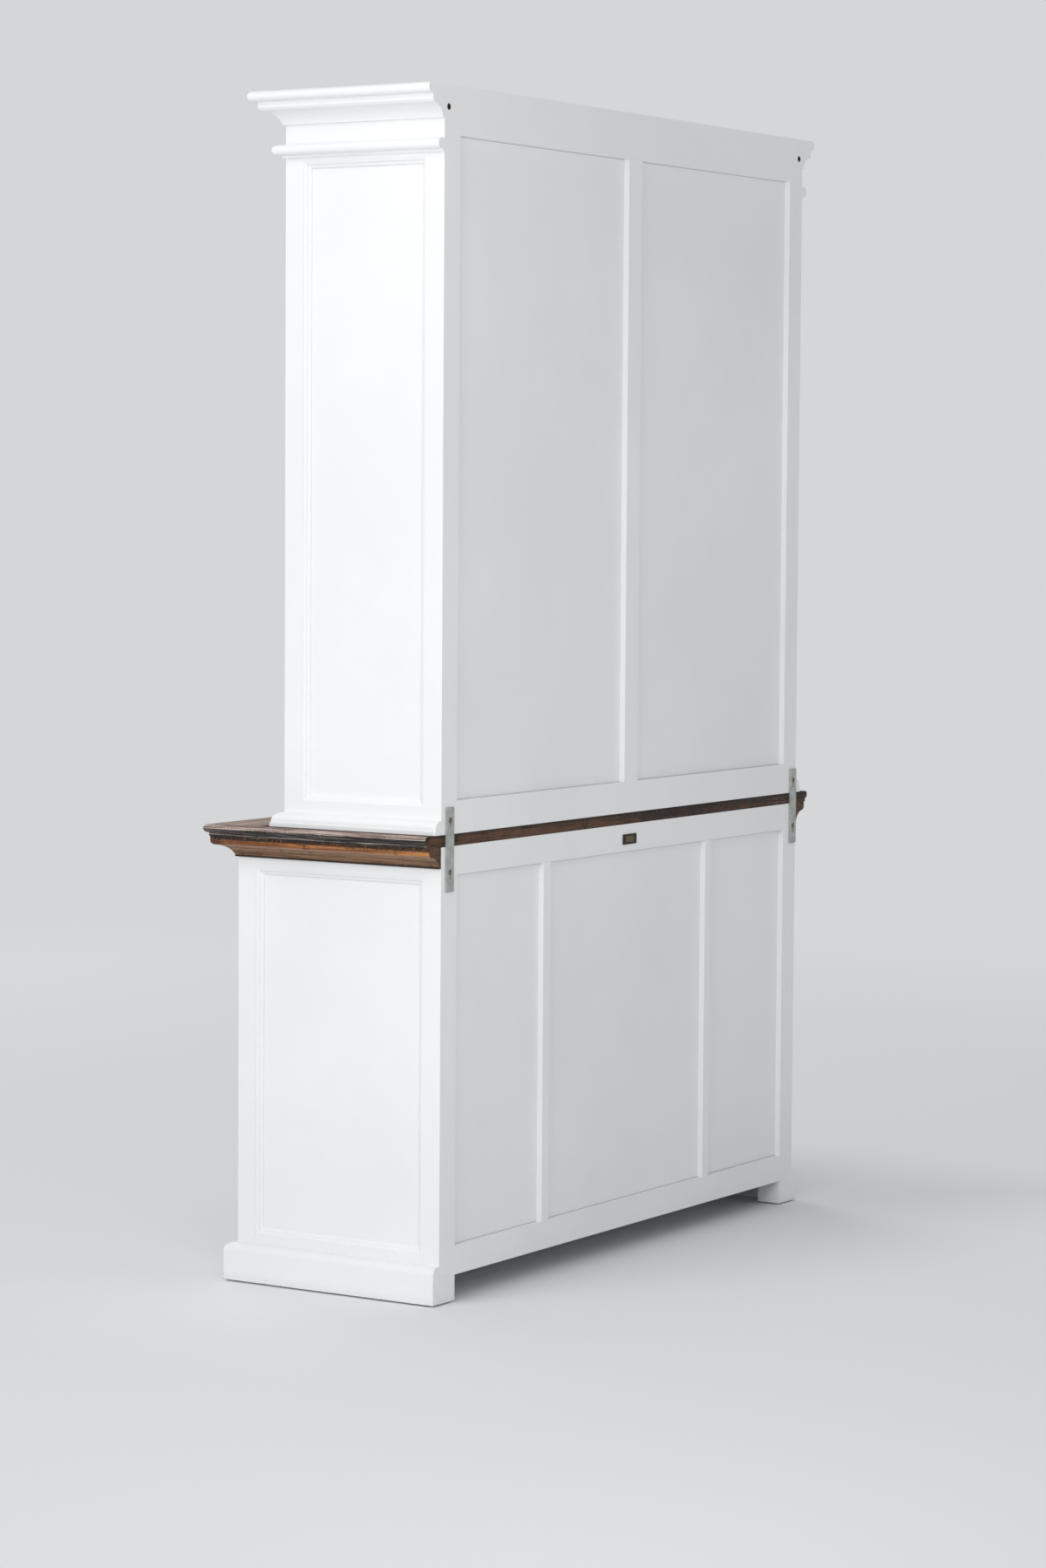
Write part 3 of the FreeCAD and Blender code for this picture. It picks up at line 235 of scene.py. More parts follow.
def whitePaint(name, worn=0.0, low=False, bay=None):
    look, mix = paintLook, newFinish(name)
    cloud = mix.noise(**look["cloud"])
    body = mix.noise(**look["broad"]) + cloud * look["cloudShare"]
    colour = mix.toned(body, look["bodyStep"], look["body"])
    specks = (mix.spots(look["speck"], look["speckStep"])
              * mix.step(cloud, *look["speckCloud"]) * (look["speckAmount"] + worn))
    colour = mix.blend(mix.clamp(specks), colour, look["speckTint"])
    if worn:
        rub = mix.spots(look["rub"], look["rubStep"])
        colour = mix.blend(rub * worn, colour, look["rubTint"])
    if low:    # dust and chips near the floor
        level = mix.axes()[2]
        dust = mix.step(level + mix.noise(**look["dust"]) * look["dustWaver"], *look["dustStep"])
        colour = mix.blend(dust * look["dustAmount"], colour, look["dustTint"])
        chips = mix.spots(look["chip"], look["chipStep"]) * mix.step(level, *look["chipHeight"])
        amount = (worn - look["chipFromWear"]) * look["chipAmount"]
        colour = mix.blend(mix.clamp(chips * amount), colour, look["chipTint"])
    if bay:    # a painted shade line: a dark hairline where a back panel meets the rails, for the shadow under the proud rail
        level = mix.axes()[2]
        foot, footLine, head, headLine = bay
        grime = (mix.step(level, foot + footLine, foot + footLine * look["grimeInner"])
                 + mix.step(level, head - headLine, head - headLine * look["grimeInner"]))
        colour = mix.blend(mix.clamp(grime) * look["grimeAmount"], colour, look["grimeTint"])
    gloss = look["roughness"] + (mix.noise(**look["gloss"]) - noiseMean) * look["glossSpread"]
    peel = mix.bump(mix.noise(**look["peel"]), look["peelDepth"], look["peelStrength"])
    wave = mix.bump(mix.noise(**look["wave"]), look["waveDepth"], look["waveStrength"], peel)
    return mix.surface(Base_Color=colour, Roughness=mix.clamp(gloss), Normal=wave,
                       IOR=look["bending"])


# Wood. The grain runs along X, and along Y where a length goes round a side.
# Its noises give along, across, detail, roughness and distortion.
woodLook = {
    "waves": (1.3, 34, 4, 0.6, 0.5),
    "fibres": (7, 330, 4, 0.7),
    "pores": (16, 620, 2, 0.5),
    "threads": (11, 700, 3, 0.65),
    "waveShare": 0.45,
    "streakStep": (0.38, 0.62),
    "ragged": 0.002,
    "poreShare": 0.5,
    "bending": 1.5,
    "specular": 0.25,
    "top": (tint(100, 75, 63), tint(178, 148, 130)),
    "rim": (tint(106, 80, 73), tint(214, 188, 176)),
    "nose": (tint(11, 10, 11), tint(38, 28, 25)),
    "back": (tint(30, 19, 13), tint(98, 68, 47)),
    "orange": (tint(110, 61, 28), tint(195, 132, 80)),
    "cove": (tint(93, 65, 46), tint(160, 125, 96)),
    "pore": tint(22, 16, 14),
    "scuff": tint(196, 186, 176),
}


def stretch(mix, turned, along, across, detail, roughness, distortion=0):
    place = mix.place()
    if turned:
        quarter = mix.put("ShaderNodeMapping", None,
                          {"Vector": place, "Rotation": (0, 0, math.pi / 2)})
        place = mix.blend(turned, place, quarter)
    drawn = mix.put("ShaderNodeMapping", None,
                    {"Vector": place, "Scale": (along, across, across)})
    return mix.noise(1.0, detail, roughness, distortion, drawn)


def grain(mix, turned, *words):
    return [stretch(mix, turned, *woodLook[word]) for word in words]


def streaky(mix, word, waves, fibres):
    streaks = share(waves, fibres, woodLook["waveShare"])
    return mix.toned(streaks, woodLook["streakStep"], woodLook[word])


def pored(mix, colour, pores, look, shade):    # dark pores over a colour
    return mix.blend(mix.step(pores, *look["poreStep"]) * look["poreAmount"], colour, shade)


def woodRelief(mix, fibres, pores, look):
    height = fibres - pores * woodLook["poreShare"]
    return mix.bump(height, look["reliefDepth"], look["reliefStrength"])


def raggedLevel(level, fibres):    # a height that wavers with the fibres
    return level + (fibres - noiseMean) * woodLook["ragged"]


# Places, widths and heights on the worktop are in metres
worktopLook = {
    "sideFace": 0.721,
    "frontFace": 0.2475,
    "backFace": 0.2468,
    "mitre": 0.4735,
    "sideFrom": 0.7055,
    "edgeWaver": 0.0016,
    "rimWidth": 0.0150,
    "line": ((0.0120, 0.0136), (0.0186, 0.0164)),
    "lineAmount": 0.5,
    "lineSpeckled": 0.45,
    "speckle": {"scale": 310, "detail": 4, "roughness": 0.7},
    "speckleStep": (0.46, 0.56),
    "noseLevel": (0.8522, 0.8502),
    "noseDepth": 0.03,
    "flecks": {"scale": 280, "detail": 3, "roughness": 0.8},
    "bare": {"scale": 7, "detail": 3, "roughness": 0.6},
    "bareDrift": (0.10, -0.20, 0, 0.10),
    "bareStep": (0.42, 0.58),
    "scuffShare": 0.6,
    "scuffStep": (0.480, 0.545),
    "ridge": ((0.8495, 0.8512), (0.8572, 0.8556)),
    "ridgeAmount": 0.85,
    "lip": ((0.8380, 0.8388), (0.8414, 0.8402)),
    "lipShare": 0.7,
    "lipStep": (0.44, 0.54),
    "lipAmount": 0.36,
    "hairStep": (0.565, 0.60),
    "hairDepth": 0.0085,
    "hairAmount": 0.4,
    "streakStep": (0.53, 0.60),
    "streakFade": (0.0150, 0.0090),
    "streakAmount": 0.6,
    "streakTint": tint(220, 198, 190),
    "tarStep": (0.47, 0.41),
    "tarFade": (0.0200, 0.0120),
    "tarAmount": 0.65,
    "hutchSide": 0.691,
    "hutchFront": -0.1202,
    "seamFade": (0.0170, 0.0120),
    "seamLevel": 0.8575,
    "seamAmount": 0.85,
    "seamDull": 0.5,
    "patch": {"scale": 26, "detail": 5, "roughness": 0.7},
    "patchShare": 0.5,
    "patchStep": (0.50, 0.42),
    "patchAmount": 0.7,
    "backTop": (0.8500, 0.8575),
    "backTopAmount": 0.6,
    "scrapeShare": 0.5,
    "scrapeStep": (0.55, 0.61),
    "scrapeFlecks": 0.8,
    "scrapePlace": (0.05, -0.15),
    "scrapeAmount": 0.4,
    "scrapeTint": tint(168, 150, 134),
    "poreStep": (0.60, 0.70),
    "poreAmount": 0.6,
    "roughness": 0.46,
    "fibreRough": 0.25,
    "reliefDepth": 0.0004,
    "reliefStrength": 0.6,
    "dent": {"scale": 70, "detail": 4},
    "dentDepth": 0.0006,
    "dentStrength": 0.4,
    "coat": 0.4,
    "coatRough": 0.14,
}


def worktopWood(name):
    look, mix = worktopLook, newFinish(name)
    dark, pale = woodLook["nose"][0], woodLook["scuff"]
    signed, along, level = mix.axes()
    across = mix.unsigned(signed)
    sideways = (across + along > look["mitre"]) * (across > look["sideFrom"])
    waves, fibres, pores, threads = grain(mix, sideways, "waves", "fibres", "pores", "threads")
    flecks = mix.noise(**look["flecks"])
    ragged = raggedLevel(level, fibres)
    edge = (mix.maths("MINIMUM", look["sideFace"] - across, along + look["frontFace"])
            + (waves - noiseMean) * look["edgeWaver"])    # the way in from the front or a side

    # Flat top, pale rim, the dark line between them, and the dark nose
    colour = mix.blend(edge < look["rimWidth"], streaky(mix, "top", waves, fibres),
                       streaky(mix, "rim", waves, fibres))
    speckle = mix.spots(look["speckle"], look["speckleStep"])
    line = mix.band(edge, *look["line"]) * (look["lineAmount"] + speckle * look["lineSpeckled"])
    colour = mix.blend(line, colour, dark)
    nose = mix.step(ragged, *look["noseLevel"]) * (edge < look["noseDepth"])
    colour = mix.blend(nose, colour, streaky(mix, "nose", waves, fibres))

    # Pale wear on the nose, and a painted highlight on the lip under it
    bare = mix.noise(**look["bare"]) + mix.step(along, *look["bareDrift"])
    bare = mix.step(bare, *look["bareStep"])
    ridge = mix.step(share(threads, flecks, look["scuffShare"]), *look["scuffStep"]) * bare
    ridge = ridge * mix.band(level, *look["ridge"])
    colour = mix.blend(ridge * look["ridgeAmount"], colour, pale)
    # painted highlight: broken pale streaks along the lip under the nose, for the light it reflects
    lip = mix.step(share(threads, flecks, look["lipShare"]), *look["lipStep"])
    colour = mix.blend(lip * mix.band(level, *look["lip"]) * look["lipAmount"], colour, pale)
    hairs = mix.step(threads, *look["hairStep"]) * nose * (edge < look["hairDepth"])
    colour = mix.blend(hairs * look["hairAmount"], colour, pale)

    # Pale and tarry streaks on the rim, and a painted shadow beside the foot of the hutch
    flat = 1 - nose
    streaks = mix.step(threads, *look["streakStep"]) * mix.step(edge, *look["streakFade"]) * flat
    colour = mix.blend(streaks * look["streakAmount"], colour, look["streakTint"])
    tar = mix.step(threads, *look["tarStep"]) * mix.step(edge, *look["tarFade"]) * flat
    colour = mix.blend(tar * look["tarAmount"], colour, dark)
    # painted shadow: the top is darkened within about 12 to 17 mm of the hutch's foot, for the
    # shade of the gap under it, and made rougher there
    away = mix.maths("MAXIMUM", across - look["hutchSide"], look["hutchFront"] - along)
    seamShadow = mix.step(mix.unsigned(away), *look["seamFade"]) * (level > look["seamLevel"])
    colour = mix.blend(seamShadow * look["seamAmount"], colour, woodLook["pore"])

    # The sawn back edge
    patches = share(mix.noise(**look["patch"]), threads, look["patchShare"])
    shade = (mix.step(patches, *look["patchStep"]) * look["patchAmount"]
             + mix.step(ragged, *look["backTop"]) * look["backTopAmount"])
    back = mix.blend(mix.clamp(shade), streaky(mix, "back", waves, fibres), woodLook["pore"])
    scrape = (mix.step(share(threads, flecks, look["scrapeShare"]), *look["scrapeStep"])
              * mix.step(signed + flecks * look["scrapeFlecks"], *look["scrapePlace"]))
    back = mix.blend(scrape * look["scrapeAmount"], back, look["scrapeTint"])
    colour = mix.blend(along > look["backFace"], colour, back)

    colour = pored(mix, colour, pores, look, woodLook["pore"])
    gloss = mix.clamp(look["roughness"] + fibres * look["fibreRough"] + seamShadow * look["seamDull"])
    dents = mix.bump(mix.noise(**look["dent"]), look["dentDepth"], look["dentStrength"],
                     woodRelief(mix, fibres, pores, look))
    return mix.surface(Base_Color=colour, Roughness=gloss, Normal=dents,
                       Coat_Weight=nose * (along < look["backFace"]) * look["coat"],
                       Coat_Roughness=look["coatRough"], IOR=woodLook["bending"],
                       Specular_IOR_Level=woodLook["specular"])


# The worktop's moulding: a brown cove, an orange thumb and a dark top, which is partly painted
# shadow under the worktop's nose
mouldingLook = {
    "backFace": 0.2468,
    "mitre": 0.4675,
    "arris": (0.8160, 0.8200),
    "arrisAmount": 0.45,
    "arrisTint": tint(190, 164, 148),
    "orangeLevel": (0.8205, 0.8220),
    "grime": {"scale": 190, "detail": 5, "roughness": 0.75},
    "mottleShare": 0.6,
    "mottleStep": (0.50, 0.56),
    "mottleLevel": (0.8215, 0.8330),
    "darkTop": (0.8290, 0.8312),
    "darkFoot": (0.8014, 0.7994),
    "darkAmount": 0.94,
    "stainDrift": (0.8290, 0.8350, 0, 0.1),
    "stainStep": (0.60, 0.68),
    "stainFrom": 0.828,
    "stainAmount": 0.4,
    "smoke": {"scale": 24, "detail": 5, "roughness": 0.7},
    "smokeDrift": (-0.10, -0.27, 0, 0.16),
    "smokeStep": (0.56, 0.72),
    "smokeAmount": 0.7,
    "smokeTint": tint(50, 34, 27),
    "chipShare": 0.5,
    "chipStep": (0.54, 0.60),
    "chipPlace": (-0.16, -0.28),
    "chipFrom": 0.81,
    "chipAmount": 0.8,
    "poreStep": (0.58, 0.68),
    "poreAmount": 0.6,
    "rub": {"scale": 210, "detail": 4, "roughness": 0.75},
    "rubStep": (0.56, 0.66),
    "usualWear": 0.12,
    "edgeWear": 0.5,
    "roughness": 0.46,
    "fibreRough": 0.2,
    "reliefDepth": 0.0004,
    "reliefStrength": 0.6,
}


def mouldingWood(name, worn):
    look, mix = mouldingLook, newFinish(name)
    signed, along, level = mix.axes()
    turned = mix.unsigned(signed) + along > look["mitre"]
    waves, fibres, pores, threads = grain(mix, turned, "waves", "fibres", "pores", "threads")
    grime = mix.noise(**look["grime"])
    ragged = raggedLevel(level, fibres)
    # painted highlight: a pale line along the top edge of the cove, just under the orange band
    colour = mix.blend(mix.step(ragged, *look["arris"]) * look["arrisAmount"],
                       streaky(mix, "cove", waves, fibres), look["arrisTint"])
    colour = mix.blend(mix.step(ragged, *look["orangeLevel"]), colour,
                       streaky(mix, "orange", waves, fibres))
    mottle = (mix.step(share(grime, threads, look["mottleShare"]), *look["mottleStep"])
              * mix.step(ragged, *look["mottleLevel"]))
    # painted shadow on the top of the moulding under the worktop's nose, and painted shade in a
    # dark line at its foot; the mottle on the orange is the wood's own
    dark = mix.step(ragged, *look["darkTop"]) + mix.step(ragged, *look["darkFoot"]) + mottle
    colour = mix.blend(mix.clamp(dark) * look["darkAmount"], colour, woodLook["nose"][1])
    stain = mix.step(grime + mix.step(ragged, *look["stainDrift"]), *look["stainStep"])
    colour = mix.blend(stain * (level > look["stainFrom"]) * look["stainAmount"], colour,
                       woodLook["orange"][1])
    smoke = mix.step(mix.noise(**look["smoke"]) + mix.step(along, *look["smokeDrift"]),
                     *look["smokeStep"])
    colour = mix.blend(smoke * look["smokeAmount"], colour, look["smokeTint"])
    chips = (mix.step(share(grime, threads, look["chipShare"]), *look["chipStep"])
             * mix.step(along, *look["chipPlace"]) * (level > look["chipFrom"]))
    colour = mix.blend(chips * look["chipAmount"], colour, woodLook["scuff"])
    colour = mix.blend(along > look["backFace"], colour, streaky(mix, "back", waves, fibres))
    colour = pored(mix, colour, pores, look, woodLook["pore"])
    rub = mix.spots(look["rub"], look["rubStep"])
    colour = mix.blend(rub * worn, colour, woodLook["scuff"])
    return mix.surface(Base_Color=colour, Normal=woodRelief(mix, fibres, pores, look),
                       Roughness=mix.clamp(look["roughness"] + fibres * look["fibreRough"]),
                       IOR=woodLook["bending"], Specular_IOR_Level=woodLook["specular"])


# The drawers' boxes and runners
drawerLook = {
    "body": (tint(176, 138, 98), tint(206, 172, 128)),
    "waveShare": 0.6,
    "bodyStep": (0.38, 0.62),
    "poreStep": (0.58, 0.72),
    "poreAmount": 0.5,
    "poreTint": tint(132, 96, 62),
    "roughness": 0.5,
    "fibreRough": 0.2,
    "reliefDepth": 0.0003,
    "reliefStrength": 0.5,
}


def bareWood(name):
    look, mix = drawerLook, newFinish(name)
    turned = 1.0    # all of it, so the grain runs along Y
    waves, fibres, pores = grain(mix, turned, "waves", "fibres", "pores")
    colour = mix.toned(share(waves, fibres, look["waveShare"]), look["bodyStep"], look["body"])
    colour = pored(mix, colour, pores, look, look["poreTint"])
    return mix.surface(Base_Color=colour, Normal=woodRelief(mix, fibres, pores, look),
                       Roughness=mix.clamp(look["roughness"] + fibres * look["fibreRough"]),
                       IOR=woodLook["bending"])


# The plates that join the two cabinets
zincLook = {
    "blotch": {"scale": 60, "detail": 5, "roughness": 0.6},
    "body": (tint(184, 188, 184), tint(162, 168, 164)),
    "bodyStep": (0.35, 0.7),
    "stain": {"scale": 230, "detail": 4},
    "stainStep": (0.64, 0.74),
    "stainAmount": 0.45,
    "stainTint": tint(130, 112, 96),
    "metal": 0.6,
    "dullStep": (0.6, 0.72),
    "dullAmount": 0.4,
    "roughness": 0.40,
    "blotchRough": 0.2,
    "grit": {"scale": 500, "detail": 3},
    "gritDepth": 0.0002,
    "gritStrength": 0.3,
}


def zincSteel(name):
    look, mix = zincLook, newFinish(name)
    blotch, stain = mix.noise(**look["blotch"]), mix.noise(**look["stain"])
    stained = mix.step(stain, *look["stainStep"]) * look["stainAmount"]
    colour = mix.blend(stained, mix.toned(blotch, look["bodyStep"], look["body"]),
                       look["stainTint"])
    metal = look["metal"] - mix.step(stain, *look["dullStep"]) * look["dullAmount"]
    grit = mix.bump(mix.noise(**look["grit"]), look["gritDepth"], look["gritStrength"])
    return mix.surface(Base_Color=colour, Metallic=mix.clamp(metal), Normal=grit,
                       Roughness=mix.clamp(look["roughness"] + blotch * look["blotchRough"]))


# The heads of the screws in those plates
rustLook = {
    "rust": {"scale": 600, "detail": 5, "roughness": 0.7},
    "body": (tint(86, 48, 32), tint(156, 126, 108)),
    "bodyStep": (0.35, 0.65),
    "metalStep": (0.5, 0.65, 0.1, 0.6),
    "roughness": 0.62,
    "depth": 0.0003,
    "strength": 0.8,
}


def rustySteel(name):
    look, mix = rustLook, newFinish(name)
    rust = mix.noise(**look["rust"])
    return mix.surface(Base_Color=mix.toned(rust, look["bodyStep"], look["body"]),
                       Metallic=mix.step(rust, *look["metalStep"]), Roughness=look["roughness"],
                       Normal=mix.bump(rust, look["depth"], look["strength"]))


# Knobs, eyelets and the hinge leaves on the doors are bronze, the fixed leaves are brass
bronzeLook = {
    "patina": {"scale": 120, "detail": 5, "roughness": 0.65},
    "body": (tint(52, 44, 37), tint(92, 74, 55)),
    "bodyStep": (0.38, 0.68),
    "metal": 0.85,
    "roughness": 0.3,
    "grit": {"scale": 700, "detail": 3},
}
brassLook = {
    "patina": {"scale": 150, "detail": 5, "roughness": 0.65},
    "body": (tint(170, 140, 86), tint(104, 80, 50)),
    "bodyStep": (0.4, 0.7),
    "metal": 0.9,
    "roughness": 0.26,
    "grit": {"scale": 700, "detail": 3},
}
patinaLook = {"rough": 0.3, "gritDepth": 0.0001, "gritStrength": 0.4}


def agedMetal(name, look):
    mix = newFinish(name)
    patina = mix.noise(**look["patina"])
    grit = mix.bump(mix.noise(**look["grit"]), patinaLook["gritDepth"], patinaLook["gritStrength"])
    return mix.surface(Base_Color=mix.toned(patina, look["bodyStep"], look["body"]),
                       Metallic=look["metal"], Normal=grit,
                       Roughness=mix.clamp(look["roughness"] + patina * patinaLook["rough"]))


badgeLook = {
    "mottle": {"scale": 650, "detail": 4, "roughness": 0.7},
    "field": (tint(76, 66, 52), tint(128, 110, 86)),
    "fieldStep": (0.40, 0.60),
    "fieldReach": (0.70, 0.46),
    "rim": (tint(34, 32, 31), tint(66, 60, 52)),
    "rimStep": (0.45, 0.65),
    "metal": 0.7,
    "roughness": 0.35,
    "mottleRough": 0.3,
    "fieldHeight": 0.5,
    "mottleHeight": 0.2,
    "depth": 0.0004,
    "strength": 0.6,
}


def badgeMetal(name):    # a dark rim round a paler, mottled field
    look, mix = badgeLook, newFinish(name)
    low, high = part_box("badge")
    across, _, level = mix.axes()
    mottle = mix.noise(**look["mottle"])
    inside = 1
    for value, start, end in ((across, low[0], high[0]), (level, low[2], high[2])):
        reach = mix.unsigned(value - (start + end) / 2) / ((end - start) / 2)
        inside = mix.step(reach, *look["fieldReach"]) * inside
    colour = mix.blend(inside, mix.toned(mottle, look["rimStep"], look["rim"]),
                       mix.toned(mottle, look["fieldStep"], look["field"]))
    height = inside * look["fieldHeight"] - mottle * look["mottleHeight"]
    return mix.surface(Base_Color=colour, Metallic=look["metal"],
                       Roughness=mix.clamp(look["roughness"] + mottle * look["mottleRough"]),
                       Normal=mix.bump(height, look["depth"], look["strength"]))


glassLook = {
    "tint": (0.965, 0.985, 0.98, 1),
    "ripple": {"scale": 5, "detail": 1},
    "rippleDepth": 0.0002,
    "rippleStrength": 0.2,
    "smear": {"scale": 8, "detail": 5, "roughness": 0.7},
    "smearStep": (0.5, 0.8, 0.02, 0.09),
    "bending": 1.2,
    "alpha": 0.35,
}


def clearGlass(name):
    look, mix = glassLook, newFinish(name)
    ripple = mix.bump(mix.noise(**look["ripple"]), look["rippleDepth"], look["rippleStrength"])
    smears = mix.spots(look["smear"], look["smearStep"])
    return mix.surface(Base_Color=look["tint"], Roughness=smears, Normal=ripple,
                       Transmission_Weight=1.0, IOR=look["bending"], Alpha=look["alpha"])


glideLook = {
    "grit": {"scale": 300, "detail": 4},
    "body": (tint(48, 47, 46), tint(86, 82, 78)),
    "bodyStep": (0.45, 0.7),
    "roughness": 0.6,
    "gritRough": 0.2,
    "depth": 0.0002,
    "strength": 0.5,
}


def glidePlastic(name):
    look, mix = glideLook, newFinish(name)
    grit = mix.noise(**look["grit"])
    return mix.surface(Base_Color=mix.toned(grit, look["bodyStep"], look["body"]),
                       Roughness=mix.clamp(look["roughness"] + grit * look["gritRough"]),
                       Normal=mix.bump(grit, look["depth"], look["strength"]))


# How worn each paint is. A bay is the foot of the back panels and the width of the painted
# shade line along it, then their head and the same, in metres.
wear = {"paintEdge": 0.25, "plinth": 0.08, "plinthEdge": 0.6}
bays = {"hutch": (0.918, 0.0014, 2.1115, 0.0014), "base": (0.103, 0.0014, 0.783, 0.0034)}

paint = whitePaint("whitePaint")
paintEdge = whitePaint("whitePaintEdge", worn=wear["paintEdge"])
plinthPaint = whitePaint("plinthPaint", worn=wear["plinth"], low=True)
plinthEdge = whitePaint("plinthPaintEdge", worn=wear["plinthEdge"], low=True)
hutchPanel = whitePaint("hutchPanelPaint", bay=bays["hutch"])
basePanel = whitePaint("basePanelPaint", bay=bays["base"])
topWood = worktopWood("worktopWood")
thumbWood = mouldingWood("worktopMouldingWood", mouldingLook["usualWear"])
thumbEdge = mouldingWood("worktopMouldingEdge", mouldingLook["edgeWear"])
drawerWood = bareWood("drawerWood")
zinc = zincSteel("zincSteel")
rust = rustySteel("rustySteel")
bronze = agedMetal("darkBronze", bronzeLook)
brass = agedMetal("agedBrass", brassLook)
badgeFinish = badgeMetal("badgeMetal")
glass = clearGlass("clearGlass")
plastic = glidePlastic("glidePlastic")

# The finish of each slot, for its faces and its softened edges
finishOf = {
    "white_paint": (paint, paintEdge),
    "stained_wood": (topWood, topWood),
    "bare_wood": (drawerWood, drawerWood),
    "galvanised_steel": (zinc, zinc),
    "rusty_steel": (rust, rust),
    "dark_bronze": (bronze, bronze),
    "aged_brass": (brass, brass),
    "glide_plastic": (plastic, plastic),
}
finishByNode = {
    "plinth": (plinthPaint, plinthEdge),
    "foot_blocks": (plinthPaint, plinthEdge),
    "worktop_moulding": (thumbWood, thumbEdge),
    "hutch_back_panels": (hutchPanel, paint),
    "base_back_panels": (basePanel, paint),
    "badge": (badgeFinish, badgeFinish),
}
print("finishes mixed:", len(bpy.data.materials))

cornerDigits = 7    # corners that agree to this many decimals of a metre are merged


# The solids of a node, each a run of triangles whose edges pair up, with its corners merged.
def solidsOf(mesh):
    corners = [tuple(round(value, cornerDigits) for value in vertex.co) for vertex in mesh.vertices]
    solids, faces, waiting = [], [], set()
    for polygon in mesh.polygons:
        face = tuple(corners[index] for index in polygon.vertices)
        faces.append(face)
        for start, end in zip(face, face[1:] + face[:1]):
            if (end, start) in waiting:
                waiting.remove((end, start))
            else:
                waiting.add((start, end))
        if not waiting:
            solids.append(faces)
            faces = []
    return solids + ([faces] if faces else [])


def meshFrom(name, solids):
    points, faces = [], []
    for solid in solids:
        index = {}
        for face in solid:
            for point in face:
                if point not in index:
                    index[point] = len(points)
                    points.append(point)
            faces.append([index[point] for point in face])
    mesh = bpy.data.meshes.new(name)
    mesh.from_pydata(points, [], faces)
    mesh.update()
    return mesh


# Widths in metres, angles in degrees
softEdge = {
    "flat": 0.4,
    "usual": 0.0005,
    "segments": 2,
    "angle": 32,
    "smooth": 30,
    "byNode": {
        "base_side_panels": 0,
        "hutch_side_panels": 0,
        "foot_blocks": 0.0002,
        "fixed_hinge_leaves": 0.0002,
        "base_side_frames": 0.0003,
        "hutch_side_frames": 0.0003,
        "base_back_frame": 0.0003,
        "hutch_back_frame": 0.0003,
        "base_face_frame": 0.0003,
        "hutch_face_frame": 0.0003,
        "joining_plates": 0.0004,
        "crown_moulding": 0.0004,
        "neck_moulding": 0.0004,
        "worktop_moulding": 0.0006,
        "worktop": 0.0008,
        "plinth": 0.0009,
    },
}


# A copy of a node with its flat faces made whole and its corners softened.
def dressed(nodeName, pieceName, materials):
    source = nodes[nodeName]
    piece = bpy.data.objects.new(pieceName, meshFrom(pieceName, solidsOf(source.data)))
    bpy.context.scene.collection.objects.link(piece)
    for material in materials:
        piece.data.materials.append(material)
    bpy.ops.object.select_all(action="DESELECT")
    bpy.context.view_layer.objects.active = piece
    piece.select_set(True)
    bpy.ops.object.mode_set(mode="EDIT")
    bpy.ops.mesh.select_all(action="SELECT")
    bpy.ops.mesh.dissolve_limited(angle_limit=math.radians(softEdge["flat"]))
    bpy.ops.object.mode_set(mode="OBJECT")
    width = softEdge["byNode"].get(nodeName, softEdge["usual"])
    if width:
        bevel = piece.modifiers.new("softEdge", "BEVEL")
        bevel.width, bevel.segments, bevel.limit_method = width, softEdge["segments"], "ANGLE"
        bevel.angle_limit = math.radians(softEdge["angle"])
        bevel.use_clamp_overlap = False
        bevel.material = len(materials) - 1
        bpy.ops.object.modifier_apply(modifier=bevel.name)
    bpy.ops.object.shade_smooth_by_angle(angle=math.radians(softEdge["smooth"]))
    weighted = piece.modifiers.new("flatFaces", "WEIGHTED_NORMAL")    # lights large faces evenly
    weighted.keep_sharp = True
    bpy.ops.object.modifier_apply(modifier=weighted.name)
    piece.select_set(False)
    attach(piece, source["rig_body"])
    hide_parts(nodeName)
    return piece


def camelName(nodeName):
    first, *rest = nodeName.split("_")
    return first + "".join(word.capitalize() for word in rest or ["piece"])


pieces = []
for nodeName, node in nodes.items():
    slotName = slotOf[nodeName]
    if slotName == "clear_glass":    # the panes keep their own mesh
        node.data.materials.clear()
        node.data.materials.append(glass)
        continue
    materials = finishByNode.get(nodeName, finishOf[slotName])
    pieces.append(dressed(nodeName, camelName(nodeName), materials))
print("pieces dressed:", len(pieces))

# Floor, light and camera. Each fade turns part of the lit floor into the backdrop: from one
# distance, to another, and how much of it. The footprint is half the object's width and depth.
stageLook = {
    "backdrop": tint(213, 214, 216),
    "floor": tint(234, 234, 235),
    "floorSize": 60,
    "floorSides": 96,
    "footprint": (0.72, 0.25),
    "nearFade": (0.08, 0.70, 0.6),
    "farFade": (1.8, 5.0, 0.4),
    "sky": (0.955, 0.98, 1.0),
    "skyLevel": 0.476,
}


def backgroundOf(world, colour, strength):
    return world.put("ShaderNodeBackground", None, {"Color": (*colour, 1), "Strength": strength})


world = Finish(bpy.data.worlds.new("studio"))
bpy.context.scene.world = world.owner
rays = world.put("ShaderNodeLightPath").out.node.outputs
seen, glossy, through = [Wire(world, rays["Is %s Ray" % word])
                         for word in ("Camera", "Glossy", "Transmission")]
sky = world.put("ShaderNodeMixShader", None, {
    0: world.clamp(seen + glossy + through),
    1: backgroundOf(world, stageLook["sky"], stageLook["skyLevel"]),
    2: backgroundOf(world, stageLook["backdrop"], 1.0)})
world.put("ShaderNodeOutputWorld", None, {"Surface": sky})

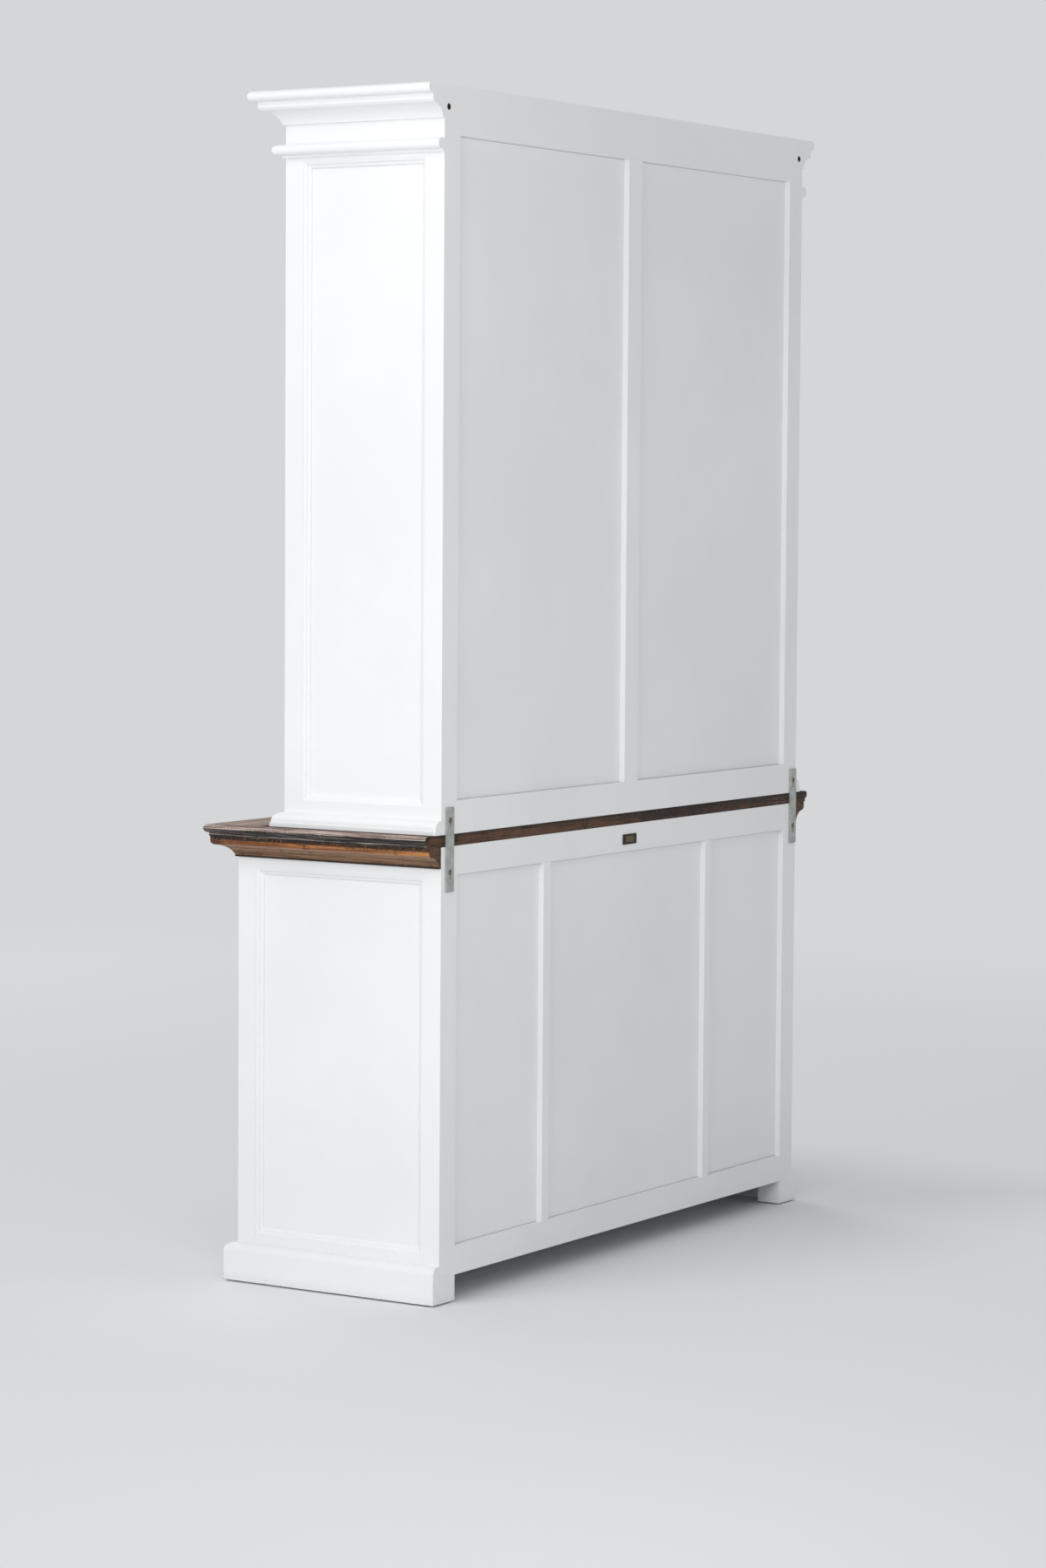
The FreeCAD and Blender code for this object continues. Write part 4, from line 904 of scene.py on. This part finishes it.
bpy.ops.mesh.primitive_circle_add(
    vertices=stageLook["floorSides"], radius=stageLook["floorSize"] / 2, fill_type="NGON",
    location=(0, 0, 0))
floor = bpy.context.object
floor.name = "studioFloor"
ground = newFinish("studioFloor")
across, along, _ = ground.axes()
halfWidth, halfDepth = stageLook["footprint"]
away = ground.maths("MAXIMUM", ground.unsigned(along) - halfDepth,
                    ground.unsigned(across) - halfWidth)
nearFade, farFade = [ground.step(away, start, end, 0, part)
                     for start, end, part in (stageLook["nearFade"], stageLook["farFade"])]
lit = ground.put("ShaderNodeBsdfDiffuse", None, {"Color": (*stageLook["floor"], 1)})
far = ground.put("ShaderNodeEmission", None,
                 {"Color": (*stageLook["backdrop"], 1), "Strength": 1.0})
faded = ground.put("ShaderNodeMixShader", None, {0: nearFade + farFade, 1: lit, 2: far})
ground.put("ShaderNodeOutputMaterial", None, {"Surface": faded})
floor.data.materials.append(ground.owner)
floor.select_set(False)

lamps = {
    "keyLamp": {
        "place": (4.6, -1.0, 5.2), "aim": (0.67, 0, 1.6), "size": (3.0, 3.0), "watts": 88},
    "sideLamp": {
        "place": (6.0, 1.6, 2.2), "aim": (0.67, 0, 1.4), "size": (2.4, 2.4), "watts": 68},
    "stripLamp": {
        "place": (2.3, 1.7, 1.7), "aim": (0.6, 0.25, 1.3), "size": (0.6, 2.2), "watts": 12},
    "frontLamp": {
        "place": (-3.2, -5.5, 3.2), "aim": (0, -0.2, 1.1), "size": (3.5, 3.5), "watts": 90},
}
for name, lamp in lamps.items():
    light = bpy.data.lights.new(name, "AREA")
    light.shape, light.size, light.size_y = "RECTANGLE", *lamp["size"]
    light.energy = lamp["watts"]
    holder = bpy.data.objects.new(name, light)
    bpy.context.scene.collection.objects.link(holder)
    holder.location = lamp["place"]
    holder.visible_camera = holder.visible_transmission = False
    aim = Vector(lamp["aim"]) - Vector(lamp["place"])
    holder.rotation_euler = aim.to_track_quat("-Z", "Y").to_euler()

# Place in metres, angles in degrees, lens and sensor in millimetres
view = {
    "place": (6.8615, 4.3052, 1.4781),
    "heading": 122.1037,
    "pitch": -4.0672,
    "roll": 0.3667,
    "lens": 94.675,
    "sensor": 36,
}
eye = bpy.data.cameras.new("photoCamera")
eye.lens, eye.sensor_width, eye.sensor_fit = view["lens"], view["sensor"], "AUTO"
viewer = bpy.data.objects.new("photoCamera", eye)
bpy.context.scene.collection.objects.link(viewer)
turn = (Matrix.Rotation(math.radians(view["heading"]), 4, "Z")
        @ Matrix.Rotation(math.radians(90 + view["pitch"]), 4, "X")
        @ Matrix.Rotation(math.radians(view["roll"]), 4, "Z"))
viewer.matrix_world = Matrix.Translation(view["place"]) @ turn
bpy.context.scene.camera = viewer
bpy.context.scene.view_settings.view_transform = "Standard"
print("studio set")
